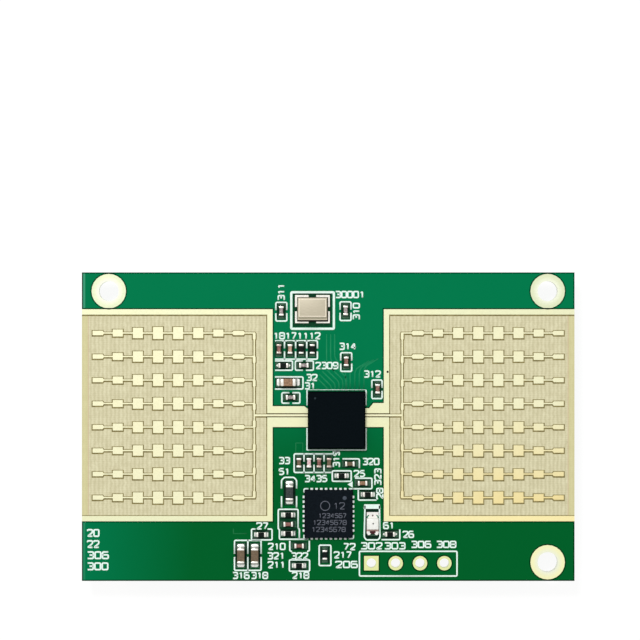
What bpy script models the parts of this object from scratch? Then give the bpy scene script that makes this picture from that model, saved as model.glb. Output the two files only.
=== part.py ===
"""Microwave radar sensor module: a populated circuit board with two printed antenna arrays.

Metres, +Z up. The board lies flat with its populated side up, +X runs to the right of the board
and +Y to its top edge. z = 0 is the lowest face, that of the wire connector under the board, and
the board is centred on x = y = 0.
"""
import math
from collections import namedtuple

import bmesh
import bpy
from mathutils import Matrix, Vector

# Antenna arrays: rows in pairs above and below the feed line, columns from the feed side outwards
ROW_PAIRS = 4
ROW_PITCH = 2.453e-3
COLUMN_PITCH = 2.10e-3
PATCH_LENGTH = 1.04e-3
PATCH_WIDTHS = (0.46e-3, 0.73e-3, 1.08e-3, 1.25e-3, 1.25e-3, 1.08e-3, 0.73e-3, 0.46e-3)
PATCH_TAPER = 0.12e-3
ROW_LINE = 0.13e-3
TRUNK_LINE = 0.14e-3
TRUNK_STEP_WIDTH = 0.28e-3
TRUNK_STEP_LENGTH = 0.70e-3
TRUNK_STEP_TAPER = 0.10e-3
TRUNK_TO_PATCH = 1.64e-3
FEED_LINE = 0.20e-3
FEED_SLOT = 0.43e-3

# Board: the bare windows that hold the arrays set its length and width
CIRCUIT_WIDTH = 11.60e-3
FRAME_STRIP = 0.56e-3
TRUNK_MARGIN = 1.36e-3
ROW_MARGIN = 1.92e-3
TAIL_MARGIN = 1.12e-3
TOP_BAND = 3.84e-3
BOTTOM_BAND = 6.22e-3
LAMINATE_THICKNESS = 1.50e-3
MASK_THICKNESS = 0.05e-3
GOLD_THICKNESS = 0.04e-3

# Ground bands that run beside the feed lines: height at the chip, height at the frame, and
# how far from the chip the slope between them starts and ends
Band = namedtuple("Band", "at_chip at_frame slope_start slope_end")
LEFT_UPPER_BAND = Band(0.68e-3, 0.95e-3, 0.10e-3, 0.49e-3)
RIGHT_UPPER_BAND = Band(0.74e-3, 1.28e-3, 0.50e-3, 0.93e-3)
LOWER_BAND = Band(1.23e-3, 1.23e-3, 0.20e-3, 0.50e-3)
BAND_UNDER_CHIP = 0.10e-3

# Mounting holes and test header
HOLE_RADIUS = 1.05e-3
HOLE_RING_WIDTH = 0.75e-3
HOLE_INSET_X = 2.80e-3
HOLE_INSET_Y = 1.95e-3
HOLE_SIDES = 24
PLATING = 0.05e-3
HEADER_PINS = 4
HEADER_PITCH = 2.54e-3
HEADER_HOLE_RADIUS = 0.50e-3
HEADER_RING_WIDTH = 0.26e-3
HEADER_EDGE_GAP = 1.85e-3
HEADER_START = 4.50e-3
HEADER_SIDES = 16

# Radar chip and microcontroller
RADAR_SIDE = 6.00e-3
RADAR_HEIGHT = 0.85e-3
RADAR_X = 0.87e-3
RADAR_DROP = 0.49e-3
CONTROLLER_SIDE = 5.00e-3
CONTROLLER_HEIGHT = 0.58e-3
CONTROLLER_X = 0.03e-3
CONTROLLER_CORRIDOR = 4.28e-3
LEADS_PER_SIDE = 8
LEAD_PITCH = 0.50e-3
LEAD_WIDTH = 0.26e-3
LEAD_REACH = 0.20e-3
LEAD_HEIGHT = 0.18e-3
CHIP_EDGE_BEVEL = 0.05e-3
CORNER_MARK_RADIUS = 0.20e-3
CORNER_MARK_INSET = 0.85e-3
CORNER_MARK_DEPTH = 0.04e-3
CORNER_MARK_SIDES = 16

# Crystal in its metal-lidded package
CRYSTAL_LENGTH = 3.20e-3
CRYSTAL_WIDTH = 2.50e-3
CRYSTAL_BASE_HEIGHT = 0.35e-3
CRYSTAL_NOTCH_RADIUS = 0.16e-3
CRYSTAL_LID_INSET = 0.04e-3
CRYSTAL_LID_WALL = 0.32e-3
CRYSTAL_LID_CORNER = 0.28e-3
CRYSTAL_LID_RIM = 0.27e-3
CRYSTAL_LID_CROWN = 0.10e-3
CRYSTAL_X = -1.65e-3
CRYSTAL_EDGE_GAP = 2.58e-3

# Two-terminal chips: a body between two metal ends, each end with its toe of solder
Chip = namedtuple("Chip", "length width height band coat")
CAPACITOR = Chip(1.00e-3, 0.50e-3, 0.50e-3, 0.25e-3, 0.02e-3)
RESISTOR = Chip(1.00e-3, 0.50e-3, 0.35e-3, 0.22e-3, 0.01e-3)
LARGE_CAPACITOR = Chip(1.60e-3, 0.80e-3, 0.80e-3, 0.36e-3, 0.02e-3)
FERRITE_BEAD = Chip(1.60e-3, 0.80e-3, 0.75e-3, 0.34e-3, 0.03e-3)
SOLDER_TOE = 0.26e-3
SOLDER_FILM = 0.03e-3
SOLDER_EDGE = 0.01e-3
LED_LENGTH = 2.00e-3
LED_WIDTH = 1.25e-3
LED_HEIGHT = 0.80e-3
LED_TERMINAL_LENGTH = 0.36e-3
LED_TERMINAL_HEIGHT = 0.30e-3
LED_LENS_DRAFT = 0.08e-3

# Wire connector under the board, its mouth at the left edge
WAYS = 4
CONTACT_PITCH = 1.00e-3
HOUSING_SIDE_ALLOWANCE = 3.00e-3
HOUSING_DEPTH = 4.25e-3
HOUSING_HEIGHT = 2.95e-3
HOUSING_EDGE_GAP = 0.30e-3
HOUSING_CORNER_GAP = 0.25e-3
HOUSING_SIDE_WALL = 0.40e-3
HOUSING_BOARD_WALL = 0.60e-3
HOUSING_OUTER_WALL = 0.45e-3
HOUSING_BACK_WALL = 0.95e-3
KEY_SLOT_WIDTH = 0.60e-3
KEY_SLOT_LENGTH = 1.20e-3
KEY_SLOT_SPACING = 2.60e-3
TAB_RECESS_DEPTH = 0.45e-3
TAB_RECESS_LENGTH = 1.70e-3
TAB_LENGTH = 1.20e-3
TAB_HEIGHT = 1.60e-3
METAL_STRIP = 0.20e-3
CONTACT_WIDTH = 0.30e-3
CONTACT_TIP_GAP = 0.60e-3
CONTACT_TAIL = 0.70e-3
CONTACT_CLEARANCE = 0.02e-3

# Sizes and places that follow from those above
COLUMNS = len(PATCH_WIDTHS)
WINDOW_HEIGHT = (2 * ROW_PAIRS - 1) * ROW_PITCH + 2 * ROW_MARGIN
FRAME_X = CIRCUIT_WIDTH / 2
WINDOW_X = FRAME_X + FRAME_STRIP
TRUNK_X = WINDOW_X + TRUNK_MARGIN
FIRST_PATCH_X = TRUNK_X + TRUNK_TO_PATCH
LAST_PATCH_X = FIRST_PATCH_X + (COLUMNS - 1) * COLUMN_PITCH
BOARD_X = LAST_PATCH_X + PATCH_LENGTH / 2 + TAIL_MARGIN
BOARD_Y = (TOP_BAND + BOTTOM_BAND + WINDOW_HEIGHT) / 2 + FRAME_STRIP
FEED_Y = BOTTOM_BAND + FRAME_STRIP + WINDOW_HEIGHT / 2 - BOARD_Y

REAR_Z = HOUSING_HEIGHT
LAMINATE_BOTTOM = REAR_Z + MASK_THICKNESS
LAMINATE_TOP = LAMINATE_BOTTOM + LAMINATE_THICKNESS
FRONT_Z = LAMINATE_TOP + MASK_THICKNESS

RADAR_Y = FEED_Y - RADAR_DROP
RADAR_LEFT = RADAR_X - RADAR_SIDE / 2
RADAR_RIGHT = RADAR_X + RADAR_SIDE / 2
RADAR_TOP = RADAR_Y + RADAR_SIDE / 2
RADAR_BOTTOM = RADAR_Y - RADAR_SIDE / 2
CONTROLLER_Y = RADAR_BOTTOM - CONTROLLER_CORRIDOR - CONTROLLER_SIDE / 2
CONTROLLER_LEFT = CONTROLLER_X - CONTROLLER_SIDE / 2
CONTROLLER_RIGHT = CONTROLLER_X + CONTROLLER_SIDE / 2
CONTROLLER_TOP = CONTROLLER_Y + CONTROLLER_SIDE / 2
CONTROLLER_BOTTOM = CONTROLLER_Y - CONTROLLER_SIDE / 2
CRYSTAL_Y = BOARD_Y - CRYSTAL_EDGE_GAP - CRYSTAL_WIDTH / 2
CRYSTAL_LEFT = CRYSTAL_X - CRYSTAL_LENGTH / 2
CRYSTAL_RIGHT = CRYSTAL_X + CRYSTAL_LENGTH / 2

HOUSING_WIDTH = (WAYS - 1) * CONTACT_PITCH + HOUSING_SIDE_ALLOWANCE
HOUSING_X = HOUSING_EDGE_GAP - BOARD_X
HOUSING_Y = HOUSING_WIDTH / 2 + HOUSING_CORNER_GAP - BOARD_Y
CORE_WIDTH = HOUSING_WIDTH - 2 * TAB_RECESS_DEPTH
CAVITY_WIDTH = CORE_WIDTH - 2 * HOUSING_SIDE_WALL
CAVITY_DEPTH = HOUSING_DEPTH - HOUSING_BACK_WALL
CAVITY_HEIGHT = HOUSING_HEIGHT - HOUSING_BOARD_WALL - HOUSING_OUTER_WALL
CONTACT_Z = HOUSING_BOARD_WALL + CAVITY_HEIGHT / 2

# Each chip's place is a step to the right and up from a corner of what it serves
ABOVE_RADAR = (RADAR_LEFT, RADAR_TOP)
BESIDE_RADAR = (RADAR_RIGHT, RADAR_TOP)
BELOW_RADAR = (RADAR_LEFT, RADAR_BOTTOM)
LEFT_OF_CONTROLLER = (CONTROLLER_LEFT, CONTROLLER_TOP)
RIGHT_OF_CONTROLLER = (CONTROLLER_RIGHT, CONTROLLER_TOP)
BELOW_CONTROLLER = (CONTROLLER_LEFT, CONTROLLER_BOTTOM)
LEFT_OF_CRYSTAL = (CRYSTAL_LEFT, CRYSTAL_Y)
RIGHT_OF_CRYSTAL = (CRYSTAL_RIGHT, CRYSTAL_Y)
INPUT_CORNER = (HOUSING_X + HOUSING_DEPTH, -BOARD_Y)

# Rows of like chips: the corner they start from, the first step and the pitch
Row = namedtuple("Row", "corner right up pitch")
FILTER_ROW = Row(ABOVE_RADAR, -3.01e-3, 4.41e-3, 1.16e-3)
DECOUPLING_ROW = Row(BELOW_RADAR, -0.92e-3, -1.45e-3, 1.047e-3)
RESET_STACK = Row(LEFT_OF_CONTROLLER, -1.70e-3, -2.61e-3, 0.975e-3)
INPUT_ROW = Row(INPUT_CORNER, 12.04e-3, 2.65e-3, 1.45e-3)

# Surface colours as they look, red green blue
BROWN_CERAMIC = (0.47, 0.33, 0.26)
GREY_CERAMIC = (0.66, 0.63, 0.58)
RED_CERAMIC = (0.60, 0.40, 0.36)
BLACK_GLAZE = (0.05, 0.05, 0.06)

Place = namedtuple("Place", "name chip corner right up upright colour")
PLACES = (
    Place("crystal_capacitor_left", CAPACITOR, LEFT_OF_CRYSTAL, -1.64e-3, -0.19e-3, True, GREY_CERAMIC),
    Place("crystal_capacitor_right", CAPACITOR, RIGHT_OF_CRYSTAL, 1.86e-3, -0.14e-3, True, GREY_CERAMIC),
    Place("loop_resistor", RESISTOR, ABOVE_RADAR, -2.55e-3, 2.69e-3, False, BLACK_GLAZE),
    Place("loop_capacitor", CAPACITOR, ABOVE_RADAR, -0.41e-3, 2.71e-3, False, GREY_CERAMIC),
    Place("reference_capacitor", CAPACITOR, BESIDE_RADAR, -1.99e-3, 3.12e-3, True, BROWN_CERAMIC),
    Place("bulk_capacitor", LARGE_CAPACITOR, ABOVE_RADAR, -2.04e-3, 0.93e-3, False, BROWN_CERAMIC),
    Place("supply_capacitor_left", CAPACITOR, ABOVE_RADAR, -1.79e-3, -0.63e-3, False, GREY_CERAMIC),
    Place("supply_capacitor_right", CAPACITOR, BESIDE_RADAR, 1.28e-3, 0.26e-3, True, BROWN_CERAMIC),
    Place("supply_capacitor_below", CAPACITOR, BELOW_RADAR, 4.39e-3, -1.57e-3, False, BROWN_CERAMIC),
    Place("bias_resistor_above", RESISTOR, LEFT_OF_CONTROLLER, 3.87e-3, 1.47e-3, False, BLACK_GLAZE),
    Place("core_capacitor", CAPACITOR, RIGHT_OF_CONTROLLER, 1.05e-3, 0.70e-3, False, BROWN_CERAMIC),
    Place("bias_resistor_beside", RESISTOR, RIGHT_OF_CONTROLLER, 1.60e-3, -0.49e-3, False, BLACK_GLAZE),
    Place("ferrite_bead", FERRITE_BEAD, LEFT_OF_CONTROLLER, -1.57e-3, -0.29e-3, True, BLACK_GLAZE),
    Place("input_resistor", RESISTOR, INPUT_CORNER, 14.16e-3, 4.84e-3, False, BLACK_GLAZE),
    Place("corner_capacitor", CAPACITOR, BELOW_CONTROLLER, -0.56e-3, -0.84e-3, False, RED_CERAMIC),
    Place("boot_resistor_low", RESISTOR, BELOW_CONTROLLER, -0.58e-3, -2.91e-3, False, BLACK_GLAZE),
    Place("boot_resistor_high", RESISTOR, BELOW_CONTROLLER, 2.11e-3, -1.78e-3, True, BLACK_GLAZE),
    Place("led_resistor", RESISTOR, RIGHT_OF_CONTROLLER, 3.92e-3, -4.63e-3, False, BLACK_GLAZE),
)
LED_STEP_RIGHT = 2.11e-3
LED_STEP_UP = -3.55e-3


def colour_of(red, green, blue):
    """The linear colour that looks like these display values."""
    def linear(value):
        return value / 12.92 if value <= 0.04045 else ((value + 0.055) / 1.055) ** 2.4
    return (linear(red), linear(green), linear(blue), 1.0)


def make_material(name, colour, roughness, metallic=0.0):
    material = bpy.data.materials.new(name)
    material.use_nodes = True
    shader = material.node_tree.nodes["Principled BSDF"]
    shader.inputs["Base Color"].default_value = colour_of(*colour)
    shader.inputs["Roughness"].default_value = roughness
    shader.inputs["Metallic"].default_value = metallic
    material.diffuse_color = colour_of(*colour)
    return material


def make_object(name, mesh_tool, materials, parent=None, location=(0.0, 0.0, 0.0), turn=0.0):
    """Put a finished bmesh into the scene as one named sub-part."""
    bmesh.ops.recalc_face_normals(mesh_tool, faces=mesh_tool.faces[:])
    mesh = bpy.data.meshes.new(name)
    mesh_tool.to_mesh(mesh)
    mesh_tool.free()
    for material in materials:
        mesh.materials.append(material)
    piece = bpy.data.objects.new(name, mesh)
    bpy.context.scene.collection.objects.link(piece)
    piece.parent = parent
    piece.location = location
    piece.rotation_euler = (0.0, 0.0, turn)
    return piece


def make_datum(name, height, turned_over=False):
    """An empty on one face of the board, which carries the parts on that face."""
    datum = bpy.data.objects.new(name, None)
    datum.location = (0.0, 0.0, height)
    datum.rotation_euler = (math.pi if turned_over else 0.0, 0.0, 0.0)
    bpy.context.scene.collection.objects.link(datum)
    return datum


def prism(outline, bottom, top):
    """A flat outline of (x, y) points extruded upwards."""
    mesh_tool = bmesh.new()
    face = mesh_tool.faces.new([mesh_tool.verts.new((x, y, bottom)) for x, y in outline])
    raise_face(mesh_tool, face, top - bottom)
    return mesh_tool


def raise_face(mesh_tool, face, height):
    raised = bmesh.ops.extrude_face_region(mesh_tool, geom=[face])["geom"]
    corners = [item for item in raised if isinstance(item, bmesh.types.BMVert)]
    bmesh.ops.translate(mesh_tool, verts=corners, vec=(0.0, 0.0, height))


def box(mesh_tool, low, high):
    """Add a box between two opposite corners."""
    centre = [(a + b) / 2 for a, b in zip(low, high)]
    size = [b - a for a, b in zip(low, high)]
    place = Matrix.Translation(centre) @ Matrix.Diagonal((*size, 1.0))
    bmesh.ops.create_cube(mesh_tool, size=1.0, matrix=place)


def cylinder(mesh_tool, x, y, radius, bottom, top, sides):
    place = Matrix.Translation((x, y, (bottom + top) / 2))
    bmesh.ops.create_cone(mesh_tool, cap_ends=True, segments=sides, radius1=radius, radius2=radius,
                          depth=top - bottom, matrix=place)


def combine(piece, mesh_tool, operation="DIFFERENCE"):
    """Cut a hidden helper shape out of a piece, or join it on."""
    helper = make_object(piece.name + "_cutter", mesh_tool, [], parent=piece.parent)
    helper.location = piece.location
    helper.rotation_euler = piece.rotation_euler
    helper.hide_render = True
    helper.display_type = "WIRE"
    boolean = piece.modifiers.new("shape", "BOOLEAN")
    boolean.operation = operation
    boolean.solver = "EXACT"
    boolean.object = helper


def bevel_edges(mesh_tool, edges, width, segments=1):
    bmesh.ops.bevel(mesh_tool, geom=edges, offset=width, offset_type="OFFSET", segments=segments,
                    profile=0.5, affect="EDGES", material=-1)


def mounting_holes():
    """Name and centre of the three corner holes; the corner over the connector has none."""
    x = BOARD_X - HOLE_INSET_X
    y = BOARD_Y - HOLE_INSET_Y
    return (("top_left", -x, y), ("top_right", x, y), ("bottom_right", x, -y))


def header_places():
    y = HEADER_EDGE_GAP - BOARD_Y
    return [(HEADER_START + pin * HEADER_PITCH, y) for pin in range(HEADER_PINS)]


def band_edge(side, band):
    """Outer edge of a ground band as (distance out, height), from the chip to the frame."""
    chip = (RADAR_RIGHT if side > 0 else -RADAR_LEFT) - BAND_UNDER_CHIP
    return [
        (chip, band.at_chip),
        (chip + band.slope_start, band.at_chip),
        (chip + band.slope_end, band.at_frame),
        (FRAME_X, band.at_frame),
    ]


def upper_band(side):
    return RIGHT_UPPER_BAND if side > 0 else LEFT_UPPER_BAND


def laminate_board(material):
    """Glass-fibre laminate, drilled for the plated holes."""
    mesh_tool = bmesh.new()
    box(mesh_tool, (-BOARD_X, -BOARD_Y, LAMINATE_BOTTOM), (BOARD_X, BOARD_Y, LAMINATE_TOP))
    board = make_object("laminate_board", mesh_tool, [material])
    drills = bmesh.new()
    for _, x, y in mounting_holes():
        cylinder(drills, x, y, HOLE_RADIUS + PLATING, REAR_Z, FRONT_Z, HOLE_SIDES)
    for x, y in header_places():
        cylinder(drills, x, y, HEADER_HOLE_RADIUS + PLATING, REAR_Z, FRONT_Z, HEADER_SIDES)
    combine(board, drills)


def notch_outline(side):
    """Where the front mask stops round one window, its frame and its feed line."""
    frame_y = WINDOW_HEIGHT / 2 + FRAME_STRIP
    upper = [(x, y) for x, y in reversed(band_edge(side, upper_band(side)))]
    lower = [(x, -y) for x, y in band_edge(side, LOWER_BAND)]
    points = [(BOARD_X, frame_y), (FRAME_X, frame_y)] + upper + lower
    points += [(FRAME_X, -frame_y), (BOARD_X, -frame_y)]
    return [(side * x, FEED_Y + y) for x, y in points]


def pad_clearances(bottom, top):
    """Cutter for the round and square openings of a mask over the plated holes."""
    openings = bmesh.new()
    for _, x, y in mounting_holes():
        cylinder(openings, x, y, HOLE_RADIUS + HOLE_RING_WIDTH, bottom, top, HOLE_SIDES)
    pad_radius = HEADER_HOLE_RADIUS + HEADER_RING_WIDTH
    for pin, (x, y) in enumerate(header_places()):
        if pin == 0:
            box(openings, (x - pad_radius, y - pad_radius, bottom), (x + pad_radius, y + pad_radius, top))
        else:
            cylinder(openings, x, y, pad_radius, bottom, top, HEADER_SIDES)
    return openings


def front_solder_mask(material):
    """Green mask, open over both antenna windows, their gold frames and the plated holes."""
    outline = [(-BOARD_X, BOARD_Y), (BOARD_X, BOARD_Y)] + notch_outline(1)
    outline += [(BOARD_X, -BOARD_Y), (-BOARD_X, -BOARD_Y)] + notch_outline(-1)[::-1]
    mask = make_object("front_solder_mask", prism(outline, LAMINATE_TOP, FRONT_Z), [material])
    combine(mask, pad_clearances(LAMINATE_BOTTOM, FRONT_Z + LAMINATE_THICKNESS))


def rear_solder_mask(material):
    outline = [(-BOARD_X, -BOARD_Y), (BOARD_X, -BOARD_Y), (BOARD_X, BOARD_Y), (-BOARD_X, BOARD_Y)]
    mask = make_object("rear_solder_mask", prism(outline, REAR_Z, LAMINATE_BOTTOM), [material])
    combine(mask, pad_clearances(REAR_Z - LAMINATE_THICKNESS, LAMINATE_TOP))


def ground_frame(name, side, rise, band, material):
    """Half of a window's gold frame, with the ground band that follows the feed line to the chip."""
    half_height = WINDOW_HEIGHT / 2
    edge = band_edge(side, band)
    outline = [
        (edge[0][0], FEED_SLOT / 2),
        (WINDOW_X, FEED_SLOT / 2),
        (WINDOW_X, half_height),
        (BOARD_X, half_height),
        (BOARD_X, half_height + FRAME_STRIP),
        (FRAME_X, half_height + FRAME_STRIP),
    ] + edge[::-1]
    placed = [(side * x, FEED_Y + rise * y) for x, y in outline]
    make_object(name, prism(placed, LAMINATE_TOP, LAMINATE_TOP + GOLD_THICKNESS), [material])


def row_edge():
    """Upper edge of a row of patches as (distance out, half width), from the trunk to the tail."""
    line = ROW_LINE / 2
    last = COLUMNS - 1
    points = []
    for column, width in enumerate(PATCH_WIDTHS):
        middle = FIRST_PATCH_X + column * COLUMN_PITCH
        start = middle - PATCH_LENGTH / 2
        end = middle + PATCH_LENGTH / 2
        lead_in = PATCH_TAPER if column in (0, last) else 0.0
        lead_out = PATCH_TAPER if column == 0 else 0.0
        points += [(start - lead_in, line), (start, width / 2), (end, width / 2)]
        if column < last:
            points.append((end + lead_out, line))
    return points


def upper_half_outline(side):
    """Outline of the rows above the feed line: up the trunk's inner side and down its outer side."""
    line = ROW_LINE / 2
    thin = TRUNK_LINE / 2
    wide = TRUNK_STEP_WIDTH / 2
    chip = (RADAR_RIGHT if side > 0 else -RADAR_LEFT) - BAND_UNDER_CHIP
    edge = row_edge()
    heights = [(row + 0.5) * ROW_PITCH for row in range(ROW_PAIRS)]
    points = [(chip, FEED_LINE / 2), (TRUNK_X - thin, FEED_LINE / 2)]
    for y in heights:
        points += [
            (TRUNK_X - thin, y - TRUNK_STEP_LENGTH),
            (TRUNK_X - wide, y - TRUNK_STEP_LENGTH + TRUNK_STEP_TAPER),
            (TRUNK_X - wide, y - line),
            (TRUNK_X - thin, y + line),
        ]
    for y in reversed(heights):
        if y != heights[-1]:
            points.append((TRUNK_X + thin, y + line))
        points += [(x, y + half) for x, half in edge]
        points += [(x, y - half) for x, half in reversed(edge)]
        points += [
            (TRUNK_X + wide, y - line),
            (TRUNK_X + wide, y - TRUNK_STEP_LENGTH + TRUNK_STEP_TAPER),
            (TRUNK_X + thin, y - TRUNK_STEP_LENGTH),
        ]
    return points


def patch_antenna(name, side, material):
    """One array in a single piece of gold: feed line, trunk with its steps, rows and patches."""
    upper = upper_half_outline(side)
    lower = [(x, -y) for x, y in reversed(upper)]
    outline = [(side * x, FEED_Y + y) for x, y in upper + lower]
    make_object(name, prism(outline, LAMINATE_TOP, LAMINATE_TOP + GOLD_THICKNESS), [material])


def plated_hole(name, x, y, hole_radius, ring_width, sides, material, square=False):
    """Gold barrel with a ring on each face of the board, turned as one spool."""
    barrel_radius = hole_radius + PLATING
    ring_radius = hole_radius + ring_width
    profile = (
        (hole_radius, LAMINATE_BOTTOM - GOLD_THICKNESS),
        (ring_radius, LAMINATE_BOTTOM - GOLD_THICKNESS),
        (ring_radius, LAMINATE_BOTTOM),
        (barrel_radius, LAMINATE_BOTTOM),
        (barrel_radius, LAMINATE_TOP),
        (ring_radius, LAMINATE_TOP),
        (ring_radius, LAMINATE_TOP + GOLD_THICKNESS),
        (hole_radius, LAMINATE_TOP + GOLD_THICKNESS),
    )
    mesh_tool = bmesh.new()
    corners = [mesh_tool.verts.new((radius, 0.0, z)) for radius, z in profile]
    edges = [mesh_tool.edges.new((a, b)) for a, b in zip(corners, corners[1:] + corners[:1])]
    bmesh.ops.spin(mesh_tool, geom=corners + edges, cent=(0.0, 0.0, 0.0), axis=(0.0, 0.0, 1.0),
                   angle=math.tau, steps=sides, use_merge=True)
    if square:
        square_the_ring(mesh_tool, (barrel_radius + ring_radius) / 2)
    make_object(name, mesh_tool, [material], location=(x, y, 0.0))


def square_the_ring(mesh_tool, from_radius):
    """Push the round edge of a ring out to the square that it touches."""
    for corner in mesh_tool.verts:
        radius = math.hypot(corner.co.x, corner.co.y)
        if radius > from_radius:
            stretch = radius / max(abs(corner.co.x), abs(corner.co.y))
            corner.co.x *= stretch
            corner.co.y *= stretch


def corner_mark(side, half_side, height):
    """Cutter for the shallow round mark by a chip's first terminal, in an upper corner."""
    mesh_tool = bmesh.new()
    place = half_side - CORNER_MARK_INSET
    cylinder(mesh_tool, side * place, place, CORNER_MARK_RADIUS, height - CORNER_MARK_DEPTH,
             height + CORNER_MARK_DEPTH, CORNER_MARK_SIDES)
    return mesh_tool


def chip_body(side, height):
    """Moulded square body with its upper edges broken."""
    mesh_tool = bmesh.new()
    box(mesh_tool, (-side / 2, -side / 2, 0.0), (side / 2, side / 2, height))
    upper_edges = [edge for edge in mesh_tool.edges if all(v.co.z > height / 2 for v in edge.verts)]
    bevel_edges(mesh_tool, upper_edges, CHIP_EDGE_BEVEL)
    return mesh_tool


def radar_chip(material, front):
    body = chip_body(RADAR_SIDE, RADAR_HEIGHT)
    chip = make_object("radar_chip", body, [material], front, (RADAR_X, RADAR_Y, 0.0))
    combine(chip, corner_mark(-1, RADAR_SIDE / 2, RADAR_HEIGHT))


def microcontroller(material, metal, front):
    """Square chip whose solder-wetted leads show as a row of studs along each side."""
    body = chip_body(CONTROLLER_SIDE, CONTROLLER_HEIGHT)
    place = (CONTROLLER_X, CONTROLLER_Y, 0.0)
    chip = make_object("microcontroller", body, [material, metal], front, place)
    combine(chip, lead_frame(), "UNION")
    combine(chip, corner_mark(1, CONTROLLER_SIDE / 2, CONTROLLER_HEIGHT))


def lead_frame():
    """A low plate whose edge has one tooth for each lead."""
    inner = CONTROLLER_SIDE / 2 - LEAD_REACH
    outer = CONTROLLER_SIDE / 2 + LEAD_REACH
    one_side = []
    for lead in range(LEADS_PER_SIDE):
        middle = (lead - (LEADS_PER_SIDE - 1) / 2) * LEAD_PITCH
        start = middle - LEAD_WIDTH / 2
        end = middle + LEAD_WIDTH / 2
        one_side += [(start, -inner), (start, -outer), (end, -outer), (end, -inner)]
    outline = []
    for quarter in range(4):
        turn = Matrix.Rotation(quarter * math.pi / 2, 2)
        outline += [turn @ Vector(point) for point in one_side]
    return prism(outline, 0.0, LEAD_HEIGHT)


def crystal_base(material, front):
    """Ceramic base with a quarter-round notch in each corner."""
    mesh_tool = bmesh.new()
    half_x = CRYSTAL_LENGTH / 2
    half_y = CRYSTAL_WIDTH / 2
    box(mesh_tool, (-half_x, -half_y, 0.0), (half_x, half_y, CRYSTAL_BASE_HEIGHT))
    base = make_object("crystal_base", mesh_tool, [material], front, (CRYSTAL_X, CRYSTAL_Y, 0.0))
    notches = bmesh.new()
    for x in (-half_x, half_x):
        for y in (-half_y, half_y):
            cylinder(notches, x, y, CRYSTAL_NOTCH_RADIUS, -CRYSTAL_BASE_HEIGHT,
                     2 * CRYSTAL_BASE_HEIGHT, CORNER_MARK_SIDES)
    combine(base, notches)


def crystal_lid(material, front):
    """Metal lid with round corners and a sloped rim up to its crown, sealed on the base."""
    mesh_tool = bmesh.new()
    half_x = CRYSTAL_LENGTH / 2 - CRYSTAL_LID_INSET
    half_y = CRYSTAL_WIDTH / 2 - CRYSTAL_LID_INSET
    box(mesh_tool, (-half_x, -half_y, 0.0), (half_x, half_y, CRYSTAL_LID_WALL))
    upright = [edge for edge in mesh_tool.edges if edge.verts[0].co.z != edge.verts[1].co.z]
    bevel_edges(mesh_tool, upright, CRYSTAL_LID_CORNER, 3)
    top = max(mesh_tool.faces, key=lambda face: face.calc_center_median().z)
    bmesh.ops.inset_individual(mesh_tool, faces=[top], thickness=CRYSTAL_LID_RIM,
                               depth=CRYSTAL_LID_CROWN)
    place = (CRYSTAL_X, CRYSTAL_Y, CRYSTAL_BASE_HEIGHT)
    make_object("crystal_lid", mesh_tool, [material], front, place)


def loft(stations):
    """Skin a row of upright rectangles, each given as (x, half width, low, top)."""
    mesh_tool = bmesh.new()
    x, half, low, top = stations[0]
    corners = ((x, -half, low), (x, half, low), (x, half, top), (x, -half, top))
    face = mesh_tool.faces.new([mesh_tool.verts.new(corner) for corner in corners])
    for count, (x, half, low, top) in enumerate(stations[1:]):
        raised = bmesh.ops.extrude_face_region(mesh_tool, geom=[face])["geom"]
        if count:
            bmesh.ops.delete(mesh_tool, geom=[face], context="FACES_ONLY")
        face = next(item for item in raised if isinstance(item, bmesh.types.BMFace))
        middle = face.calc_center_median().z
        for corner in face.verts:
            corner.co = (x, math.copysign(half, corner.co.y), top if corner.co.z > middle else low)
    return mesh_tool


def mirrored(stations):
    return stations + [(-x, half, low, top) for x, half, low, top in reversed(stations)]


def solder_toe(end, half, height):
    """Stations of the solder that climbs the end of a chip."""
    return [
        (-end - SOLDER_TOE, half, 0.0, SOLDER_FILM),
        (-end - SOLDER_TOE / 2, half, 0.0, SOLDER_FILM + height / 5),
        (-end - SOLDER_EDGE, half, 0.0, height * 2 / 3),
        (-end, half, 0.0, height),
    ]


def paint_ends(mesh_tool, body_end):
    """Give the faces outside the body the second material, the metal of the ends."""
    for face in mesh_tool.faces:
        face.material_index = 1 if abs(face.calc_center_median().x) > body_end else 0


def two_terminal_chip(name, chip, x, y, upright, body_material, metal, front):
    end = chip.length / 2
    body_end = end - chip.band
    stations = solder_toe(end, chip.width / 2, chip.height) + [
        (-body_end, chip.width / 2, 0.0, chip.height),
        (-body_end + SOLDER_EDGE, chip.width / 2 - chip.coat, chip.coat, chip.height - chip.coat),
    ]
    mesh_tool = loft(mirrored(stations))
    paint_ends(mesh_tool, body_end)
    turn = math.pi / 2 if upright else 0.0
    make_object(name, mesh_tool, [body_material, metal], front, (x, y, 0.0), turn)


def status_led(lens, metal, front):
    """Light-emitting diode: a lens block between two low metal terminals."""
    end = LED_LENGTH / 2
    lens_end = end - LED_TERMINAL_LENGTH
    half = LED_WIDTH / 2
    stations = solder_toe(end, half, LED_TERMINAL_HEIGHT) + [
        (-lens_end, half, 0.0, LED_TERMINAL_HEIGHT),
        (-lens_end + LED_LENS_DRAFT, half, 0.0, LED_HEIGHT),
    ]
    mesh_tool = loft(mirrored(stations))
    paint_ends(mesh_tool, lens_end)
    place = (CONTROLLER_RIGHT + LED_STEP_RIGHT, CONTROLLER_TOP + LED_STEP_UP, 0.0)
    make_object("status_led", mesh_tool, [lens, metal], front, place, math.pi / 2)


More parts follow.
